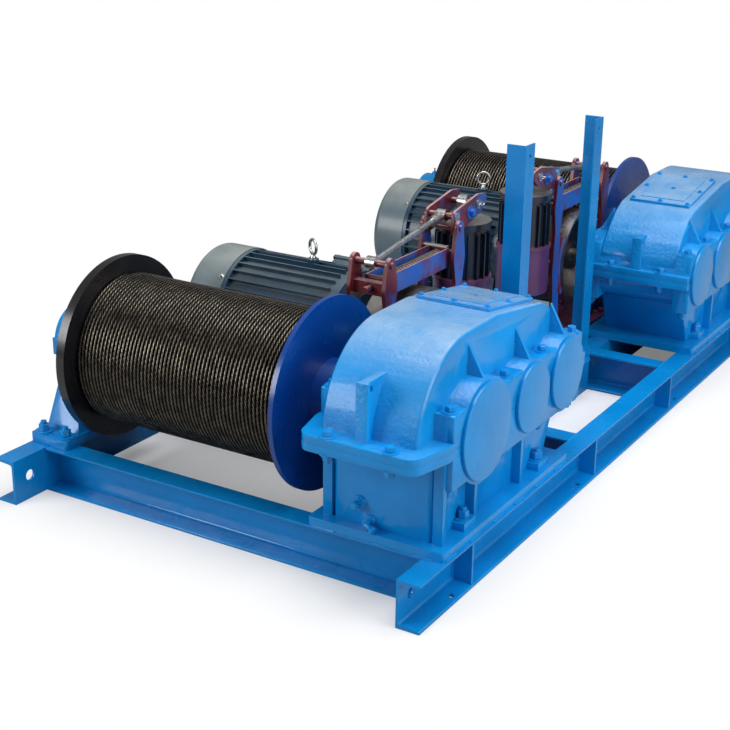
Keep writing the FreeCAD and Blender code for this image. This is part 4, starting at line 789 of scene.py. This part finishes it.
def hatch_bolts():
    """Eight bolts round the sloping inspection cover."""
    y0, y1 = HATCH_Y[0] + 0.018, HATCH_Y[1] - 0.018
    slope = (HATCH_Z[1] - HATCH_Z[0]) / (HATCH_Y[1] - HATCH_Y[0])
    up = Vector((0, -slope, 1)).normalized()
    places = []
    for x in (0.469, 0.587, 0.705):
        for y in (y0, (y0 + y1) / 2, y1):
            if x == 0.587 and y not in (y0, y1):
                continue
            z = HATCH_Z[0] + 0.012 + slope * (y - HATCH_Y[0])
            places.append(((x, y, z), tuple(up)))
    return places


class WINCH_OT_fasteners(bpy.types.Operator):
    """Adds bolts, nuts and washers in their rows"""
    bl_idname = "winch.fasteners"
    bl_label = "Add the fasteners"

    def execute(self, context):
        flats = context.scene.winch_fasteners
        tops, nuts = gearbox_bolts()
        big = (PEDESTAL_BOX[0].x + 0.034, PEDESTAL_BOX[1].x - 0.034)
        foot = [((BOX_X + side * 0.197, y, BED_TOP + 0.026), UP)
                for side in (-1, 1) for y in (DRUM_Y - 0.058, MOTOR_Y - 0.121)]
        base = [((x, y, RAIL_TOP + 0.035), UP)
                for x in big for y in (PEDESTAL_BOX[0].y + 0.034, PEDESTAL_BOX[1].y - 0.034)]
        cap = [((CAP_X, DRUM_Y + end * 0.132, AXIS_Z + 0.030), UP) for end in (-1, 1)]
        motor = [((x, MOTOR_Y + side * 0.178, 0.292), UP) for x in (-0.390, -0.078) for side in (-1, 1)]
        brake = [((BRAKE_X + side * 0.095, y, RAIL_TOP + 0.016), UP) for side in (-1, 1)
                 for y in (BRAKE_BOX[0].y + 0.025, MOTOR_Y, BRAKE_BOX[1].y - 0.012)]
        coupling = [((0.315, DRUM_Y + 0.100 * math.cos(a), AXIS_Z + 0.100 * math.sin(a)), (1, 0, 0))
                    for a in (math.radians(60 * i + 30) for i in range(6))]
        rows = (
            ("gearbox_bolts", bolt_head, flats.gearbox, tops, "bolt", "frame"),
            ("gearbox_nuts", nut_and_end, flats.gearbox, nuts, "bolt", "frame"),
            ("foot_bolts", nut_and_end, flats.foot, foot + base, "bolt", "frame"),
            ("cap_bolts", bolt_head, flats.gearbox, cap, "bolt", "frame"),
            ("hatch_bolts", bolt_head, flats.small, hatch_bolts(), "bolt", "frame"),
            ("motor_bolts", bolt_head, flats.gearbox, motor, "zinc", "frame"),
            ("brake_bolts", bolt_head, flats.gearbox, brake, "stand", "frame"),
            ("coupling_bolts", bolt_head, flats.gearbox, coupling, "bolt", "drum"),
        )
        for name, kind, width, places, paint, body in rows:
            template = kind(width)
            for number in (1, 2):
                piece = spread(template, on_unit(places, number), "%s_%d" % (name, number))
                smooth(piece, math.radians(30))
                finish_piece(piece, MATERIALS[paint], body if body == "frame" else "%s_%d" % (body, number))
            removed(template)
        return {"FINISHED"}


# Fittings

def turn_up(piece, point, axis):
    """Moves a piece that stands on z = 0 to the point, with its top along the axis."""
    piece.matrix_world = aimed(point, axis)
    return settle(piece)


def ring_bolt(fit):
    """Eye bolt on z = 0: collar, neck and a ring that stands up."""
    collar = disc(0.0135, 0.006, 0, 24)
    bpy.ops.object.select_all(action="DESELECT")
    bpy.ops.mesh.primitive_cone_add(vertices=20, radius1=0.0105, radius2=0.0065, depth=0.012, location=(0, 0, 0.011))
    neck = bpy.context.active_object
    bpy.ops.mesh.primitive_torus_add(major_radius=fit.eye_r, minor_radius=fit.eye_wire, major_segments=40,
                                     minor_segments=12, rotation=(math.pi / 2, 0, 0),
                                     location=(0, 0, 0.012 + fit.eye_r + fit.eye_wire))
    ring = bpy.context.active_object
    return joined([collar, neck, ring], "eye_bolt")


def coil(fit, y0, y1):
    """Round wire wound along Y round the guide rod of the brake spring."""
    bpy.ops.object.select_all(action="DESELECT")
    bpy.ops.mesh.primitive_circle_add(vertices=10, radius=fit.wire / 2, rotation=(0, math.pi / 2, 0))
    wire = settle(bpy.context.active_object)
    bpy.ops.object.mode_set(mode="EDIT")
    bpy.ops.mesh.select_all(action="SELECT")
    bpy.ops.transform.translate(value=(0, 0, fit.coil_r))
    bpy.ops.object.mode_set(mode="OBJECT")
    screw = wire.modifiers.new("Wind", "SCREW")
    screw.axis = "Y"
    screw.angle = 2 * math.pi
    screw.screw_offset = (y1 - y0) / fit.coils
    screw.iterations = fit.coils
    screw.steps = screw.render_steps = 28
    closed(apply_all(wire))
    wire.location = (BRAKE_X, y0, SPRING_Z)
    return smooth(outward(settle(wire)), math.radians(60))


def pipe(points, radius):
    """Bent pipe through the points."""
    bpy.ops.object.select_all(action="DESELECT")
    bpy.ops.curve.primitive_nurbs_path_add()
    path = bpy.context.active_object
    path.data.splines.clear()
    spline = path.data.splines.new("NURBS")
    spline.points.add(len(points) - 1)
    for knot, point in zip(spline.points, points):
        knot.co = (*point, 1.0)
    spline.order_u = 3
    spline.use_endpoint_u = True
    path.data.bevel_depth = radius
    path.data.bevel_resolution = 3
    path.data.use_fill_caps = True
    bpy.ops.object.convert(target="MESH")
    return outward(settle(bpy.context.active_object))


def rounded_plate(size, centre, corner):
    """Flat plate with rounded corners and edges."""
    bpy.ops.object.select_all(action="DESELECT")
    bpy.ops.mesh.primitive_cube_add(size=1.0, location=(0, 0, 0))
    plate = bpy.context.active_object
    plate.scale = size
    settle(plate)
    bevel = plate.modifiers.new("Corners", "BEVEL")
    bevel.width = corner
    bevel.segments = 2
    apply_all(plate)
    plate.location = centre
    return settle(plate)


def oil_plugs():
    """Oil gauge plug and the elbow of the drain, on the pads of the front wall."""
    gauge, drain = (0.509, PAD_FACE, 0.263), (0.548, PAD_FACE, 0.214)
    elbow = [drain, (0.548, PAD_FACE - 0.016, 0.214), (0.553, PAD_FACE - 0.026, 0.2115),
             (0.576, PAD_FACE - 0.029, 0.2025)]
    out = (Vector(elbow[-1]) - Vector(elbow[-2])).normalized()
    pieces = [
        turn_up(disc(0.0195, 0.007, 0, 32), gauge, (0, -1, 0)),
        turn_up(disc(0.0150, 0.012, 0, 32), gauge, (0, -1, 0)),
        turn_up(hexagon(0.023, 0.017, 0.012), gauge, (0, -1, 0)),
        pipe(elbow, 0.0085),
        turn_up(disc(0.0125, 0.006, 0, 24), elbow[1], (0, -1, 0)),
        turn_up(hexagon(0.026, 0.013, 0), tuple(Vector(elbow[-1]) - out * 0.004), tuple(out)),
    ]
    return joined(pieces, "oil_plugs")


def weld(start, end, radius):
    """Rippled weld bead from start to end, half sunk in its corner."""
    start, end = Vector(start), Vector(end)
    count = max(2, round((end - start).length / 0.007))
    pitch = (end - start).length / count
    bpy.ops.object.select_all(action="DESELECT")
    bpy.ops.mesh.primitive_cylinder_add(vertices=8, radius=radius * 0.86, depth=pitch, end_fill_type="NOTHING",
                                        location=(0, 0, pitch / 2))
    ripple = settle(bpy.context.active_object)
    bpy.ops.object.mode_set(mode="EDIT")
    mesh = bmesh.from_edit_mesh(ripple.data)
    for edge in mesh.edges:
        edge.select_set(abs(edge.verts[0].co.z - edge.verts[1].co.z) > pitch / 2)
    bmesh.update_edit_mesh(ripple.data)
    bpy.ops.mesh.subdivide(number_cuts=1)
    mesh = bmesh.from_edit_mesh(ripple.data)
    for vert in mesh.verts:
        vert.select_set(abs(vert.co.z - pitch / 2) < pitch / 10)
    mesh.select_flush_mode()
    bmesh.update_edit_mesh(ripple.data)
    bpy.ops.transform.resize(value=(1.16, 1.16, 1.0), center_override=(0, 0, 0))
    bpy.ops.object.mode_set(mode="OBJECT")
    row = ripple.modifiers.new("Row", "ARRAY")
    row.count = count
    row.use_relative_offset = False
    row.use_constant_offset = True
    row.constant_offset_displace = (0, 0, pitch)
    row.use_merge_vertices = True
    row.merge_threshold = 0.0001
    closed(apply_all(ripple))
    return turn_up(outward(ripple), start, end - start)


class WINCH_OT_fittings(bpy.types.Operator):
    """Adds eye bolts, brake springs, pins, oil plugs, grease nipples and bare plates"""
    bl_idname = "winch.fittings"
    bl_label = "Add the fittings"

    def execute(self, context):
        fit = context.scene.winch_fittings
        spring_y0, spring_y1 = MOTOR_Y - 0.213, MOTOR_Y + 0.221
        eye = ring_bolt(fit)
        bpy.ops.transform.rotate(value=math.radians(31), orient_axis="Z", center_override=(0, 0, 0))
        eye = turn_up(settle(eye), (EYE_X, MOTOR_Y, EYE_Z), UP)
        smooth(eye, math.radians(50))
        spring = named(coil(fit, spring_y0, spring_y1), "spring_coil")
        end_plate = named(rounded_plate((0.104, 0.020, 0.007), (0.185, MOTOR_Y + 0.2245, 0.7902), 0.002),
                          "spring_end_plate")
        washer = disc(0.018, 0.003, 0, 24)
        sides = [((BRAKE_X + s * 0.0602, *pin), (s, 0, 0)) for s in (-1, 1) for pin in (TIE_PIN, LIFT_PIN)]
        washers = spread(washer, sides, "lever_washers")
        removed(washer)
        bpy.ops.object.select_all(action="DESELECT")
        bpy.ops.mesh.primitive_torus_add(major_radius=0.011, minor_radius=0.0022, major_segments=20, minor_segments=8,
                                         rotation=(math.radians(70), 0, 0), location=(0, 0, 0.010))
        split = settle(bpy.context.active_object)
        split_pins = spread(split, [((BRAKE_X + s * 0.0632, *LIFT_PIN), (s, 0, 0)) for s in (-1, 1)], "split_pins")
        removed(split)
        side_bolt = named(turn_up(bolt_head(0.026), (BRAKE_X + 0.060, MOTOR_Y + 0.346, 0.897), (1, 0, 0)),
                          "lever_bolt")
        nipple = joined([hexagon(0.011, 0.006, 0), disc(0.0035, 0.012, 0.005, 12),
                         disc(0.0048, 0.004, 0.015, 12)], "nipple")
        nipples = spread(nipple, [((CAP_X, DRUM_Y, 0.625), UP)], "grease_nipple")
        removed(nipple)
        sleeve = turn_up(disc(0.107, 0.186, 0, 64), (BRAKE_X, LIFT_PIN[0], STAND_TOP - 0.198), UP)
        ring = turn_up(disc(0.112, 0.012, 0, 64), (BRAKE_X, LIFT_PIN[0], STAND_TOP - 0.012), UP)
        lug_bolt = bolt_head(0.013)
        lug_r = 0.212 * math.sqrt(0.5)
        motor_bolts = [((-0.004, MOTOR_Y + a * lug_r, AXIS_Z + b * lug_r), (1, 0, 0))
                       for a in (-1, 1) for b in (-1, 1)]
        turn = math.radians(-68)
        out = Vector((0, -math.sin(turn), math.cos(turn)))
        across = Vector((0, math.cos(turn), math.sin(turn)))
        lid = Vector((0, MOTOR_Y, AXIS_Z)) + out * 0.306
        motor_bolts += [(tuple(lid + across * s * 0.060 + Vector((x, 0, 0))), tuple(out))
                        for x in (-0.253, -0.097) for s in (-1, 1)]
        cowl_bolts = [((-0.495, MOTOR_Y + 0.228 * math.sin(a), AXIS_Z + 0.228 * math.cos(a)),
                       (0, math.sin(a), math.cos(a)))
                      for a in (math.radians(45 + 90 * i) for i in range(4))]
        motor_screws = spread(lug_bolt, motor_bolts + cowl_bolts, "motor_screws")
        removed(lug_bolt)
        rows = (
            (eye, "zinc", "frame", "zinc"), (spring, "dark", "rear_arm", "dark_steel"),
            (end_plate, "dusty", "rear_arm", "brake_red"), (washers, "zinc", "lever", "zinc"),
            (split_pins, "zinc", "lever", "zinc"), (side_bolt, "overspray", "lever", "zinc"),
            (nipples, "zinc", "frame", "zinc"), (oil_plugs(), "bolt", "frame", "casting_blue"),
            (joined([sleeve, ring], "stand_ring"), "stand", "thruster", "brake_red"),
            (motor_screws, "zinc", "frame", "zinc"),
        )
        for piece, paint, body, slot in rows:
            stem = piece.name
            for number in (1, 2):
                part = named(piece, stem + "_1") if number == 1 else behind(piece, stem + "_2")
                smooth(part, math.radians(45))
                finish_piece(part, MATERIALS[paint], body if body == "frame" else "%s_%d" % (body, number))
        return {"FINISHED"}


class WINCH_OT_welds(bpy.types.Operator):
    """Lays the weld beads of the frame"""
    bl_idname = "winch.welds"
    bl_label = "Weld the frame"

    def execute(self, context):
        bead = context.scene.winch_fittings.bead
        low = RAIL_TOP + 0.010
        beads = []

        def lay(start, end, share=1.0):
            beads.append(weld(start, end, bead * share))

        for side in (-1, 1):
            x = side * 0.756
            for web, tip in ((-1.458, -1.539), (1.458, 1.539), (-0.399, -0.480), (0.511, 0.430)):
                lay((x, web, RAIL_TOP - bead * 0.4), (x, tip, RAIL_TOP - bead * 0.4))
                lay((x - side * bead * 0.2, web, 0.012), (x - side * bead * 0.2, web, RAIL_TOP - 0.014))
            for y in (0.386, 1.351, -0.386, -1.351):
                for edge in (y - 0.0055, y + 0.0055):
                    lay((side * 0.766, edge, 0.016), (side * 0.766, edge, 0.144), 0.8)
            foot, heel = side * POST_Y[0], side * POST_Y[1]
            for y in (foot, heel):
                lay((POST_X[0], y, RAIL_TOP), (POST_X[1], y, RAIL_TOP))
            for x in POST_X:
                lay((x, foot, RAIL_TOP), (x, heel, RAIL_TOP))
            corner = (POST_X[1] - 0.008, heel - side * 0.008, low)
            lay((POST_X[0] + 0.008, corner[1], low), corner, 0.8)
            lay((corner[0], foot + side * 0.008, low), corner, 0.8)
            for k in range(6):
                y = side * (0.68 + k * 0.155)
                lay((0.826, y, RAIL_TOP), (0.826, y + side * 0.065, RAIL_TOP))
            for x in (0.375, 0.560, 0.720):
                lay((x, side * 1.534, RAIL_TOP), (x + 0.070, side * 1.534, RAIL_TOP))
        welds = smooth(joined(beads, "weld_beads"), math.radians(60))
        finish_piece(welds, MATERIALS["enamel"], "frame")
        return {"FINISHED"}


# Studio

def softbox(name, place, aim, width, power):
    bpy.ops.object.light_add(type="AREA", location=place)
    lamp = bpy.context.active_object
    lamp.name = name
    lamp.rotation_euler = (Vector(aim) - Vector(place)).to_track_quat("-Z", "Y").to_euler()
    lamp.data.shape = "SQUARE"
    lamp.data.size = width
    lamp.data.energy = power
    return lamp


def floor_material(white):
    """Pale floor that keeps the shadow under the winch and is white past it, and sends little light back up."""
    paint = Paint("studio_floor")
    x, y, _ = paint.axes()
    away = paint.math("MAXIMUM", paint.math("MULTIPLY", paint.math("ABSOLUTE", x), 1 / CAD_BOX[1].x),
                      paint.math("MULTIPLY", paint.math("ABSOLUTE", y), 1 / CAD_BOX[1].y))
    paint.surface.inputs["Base Color"].default_value = (*white, 1.0)
    paint.set(Roughness=0.9, Specular_IOR_Level=0.1)
    dim = paint.add("ShaderNodeBsdfDiffuse")
    dim.inputs["Color"].default_value = (*shade(white, 0.45), 1.0)
    glow = paint.add("ShaderNodeEmission")
    glow.inputs["Color"].default_value = (1.0, 1.0, 1.0, 1.0)
    rays = paint.add("ShaderNodeLightPath")
    seen = paint.add("ShaderNodeMixShader")
    paint.link(paint.ranged(away, 0.85, 1.30, 0.8, 0.0), seen.inputs[0])
    paint.link(glow.outputs[0], seen.inputs[1])
    paint.link(paint.surface.outputs[0], seen.inputs[2])
    choice = paint.add("ShaderNodeMixShader")
    paint.link(rays.outputs["Is Camera Ray"], choice.inputs[0])
    paint.link(dim.outputs[0], choice.inputs[1])
    paint.link(seen.outputs[0], choice.inputs[2])
    output = [node for node in paint.tree.nodes if node.type == "OUTPUT_MATERIAL"][0]
    paint.link(choice.outputs[0], output.inputs["Surface"])
    return paint.material


class WINCH_OT_studio(bpy.types.Operator):
    """Sets up the pale floor, the soft light and the camera"""
    bl_idname = "winch.studio"
    bl_label = "Set up the studio"

    def execute(self, context):
        studio = context.scene.winch_studio
        bpy.ops.object.select_all(action="DESELECT")
        bpy.ops.mesh.primitive_plane_add(size=studio.floor, location=(0, 0, -0.0005))
        floor = named(settle(bpy.context.active_object), "studio_floor")
        floor.data.materials.append(floor_material(studio.white))

        world = bpy.data.worlds.new("studio")
        context.scene.world = world
        world.use_nodes = True
        tree = world.node_tree
        tree.nodes.clear()
        even = tree.nodes.new("ShaderNodeBackground")
        even.inputs["Color"].default_value = (0.95, 0.97, 1.0, 1.0)
        even.inputs["Strength"].default_value = studio.sky
        seen = tree.nodes.new("ShaderNodeBackground")
        seen.inputs["Color"].default_value = (1.0, 1.0, 1.0, 1.0)
        seen.inputs["Strength"].default_value = 1.0
        rays = tree.nodes.new("ShaderNodeLightPath")
        blend = tree.nodes.new("ShaderNodeMixShader")
        output = tree.nodes.new("ShaderNodeOutputWorld")
        tree.links.new(rays.outputs["Is Camera Ray"], blend.inputs[0])
        tree.links.new(even.outputs[0], blend.inputs[1])
        tree.links.new(seen.outputs[0], blend.inputs[2])
        tree.links.new(blend.outputs[0], output.inputs[0])

        softbox("key_light", (-3.4, -5.6, 2.6), (0, -0.6, 0.5), 2.6, studio.key)
        softbox("top_light", (1.0, -0.4, 6.0), (0.2, -0.2, 0), 5.0, studio.top)
        softbox("side_light", (6.0, -1.2, 2.8), (0, -0.3, 0.5), 4.0, studio.side)

        bpy.ops.object.camera_add(location=(2.5626, -4.8603, 2.1587),
                                  rotation=tuple(math.radians(a) for a in (69.8278, -0.6863, 31.4725)))
        camera = bpy.context.active_object
        camera.name = "photo_camera"
        camera.data.sensor_fit = "HORIZONTAL"
        camera.data.sensor_width = 36.0
        camera.data.lens = 70.163
        camera.data.clip_end = 200.0
        context.scene.camera = camera
        context.scene.view_settings.view_transform = "Standard"
        return {"FINISHED"}


class WINCH_PT_panel(bpy.types.Panel):
    """The winch's steps and settings in the sidebar"""
    bl_label = "Winch"
    bl_idname = "WINCH_PT_panel"
    bl_space_type = "VIEW_3D"
    bl_region_type = "UI"
    bl_category = "Winch"

    def draw(self, context):
        for group in GROUPS.values():
            settings = getattr(context.scene, group)
            box = self.layout.box()
            for key in settings.__annotations__:
                box.prop(settings, key)
        for operator in STEPS:
            self.layout.operator(operator.bl_idname)


GROUPS = {
    WinchColours: "winch_colours", RopeSettings: "winch_rope", CastingSettings: "winch_casting",
    FastenerSettings: "winch_fasteners", FittingSettings: "winch_fittings", StudioSettings: "winch_studio",
}
STEPS = (WINCH_OT_paint, WINCH_OT_rope, WINCH_OT_castings, WINCH_OT_edges, WINCH_OT_fasteners, WINCH_OT_fittings,
         WINCH_OT_welds, WINCH_OT_studio)


def register():
    for group, name in GROUPS.items():
        bpy.utils.register_class(group)
        setattr(bpy.types.Scene, name, PointerProperty(type=group))
    for operator in STEPS:
        bpy.utils.register_class(operator)
    bpy.utils.register_class(WINCH_PT_panel)


def unregister():
    bpy.utils.unregister_class(WINCH_PT_panel)
    for operator in reversed(STEPS):
        bpy.utils.unregister_class(operator)
    for group, name in reversed(list(GROUPS.items())):
        delattr(bpy.types.Scene, name)
        bpy.utils.unregister_class(group)


def main():
    register()
    bpy.ops.winch.paint()
    bpy.ops.winch.rope()
    bpy.ops.winch.castings()
    bpy.ops.winch.edges()
    bpy.ops.winch.fasteners()
    bpy.ops.winch.fittings()
    bpy.ops.winch.welds()
    bpy.ops.winch.studio()


if __name__ == "__main__":
    main()
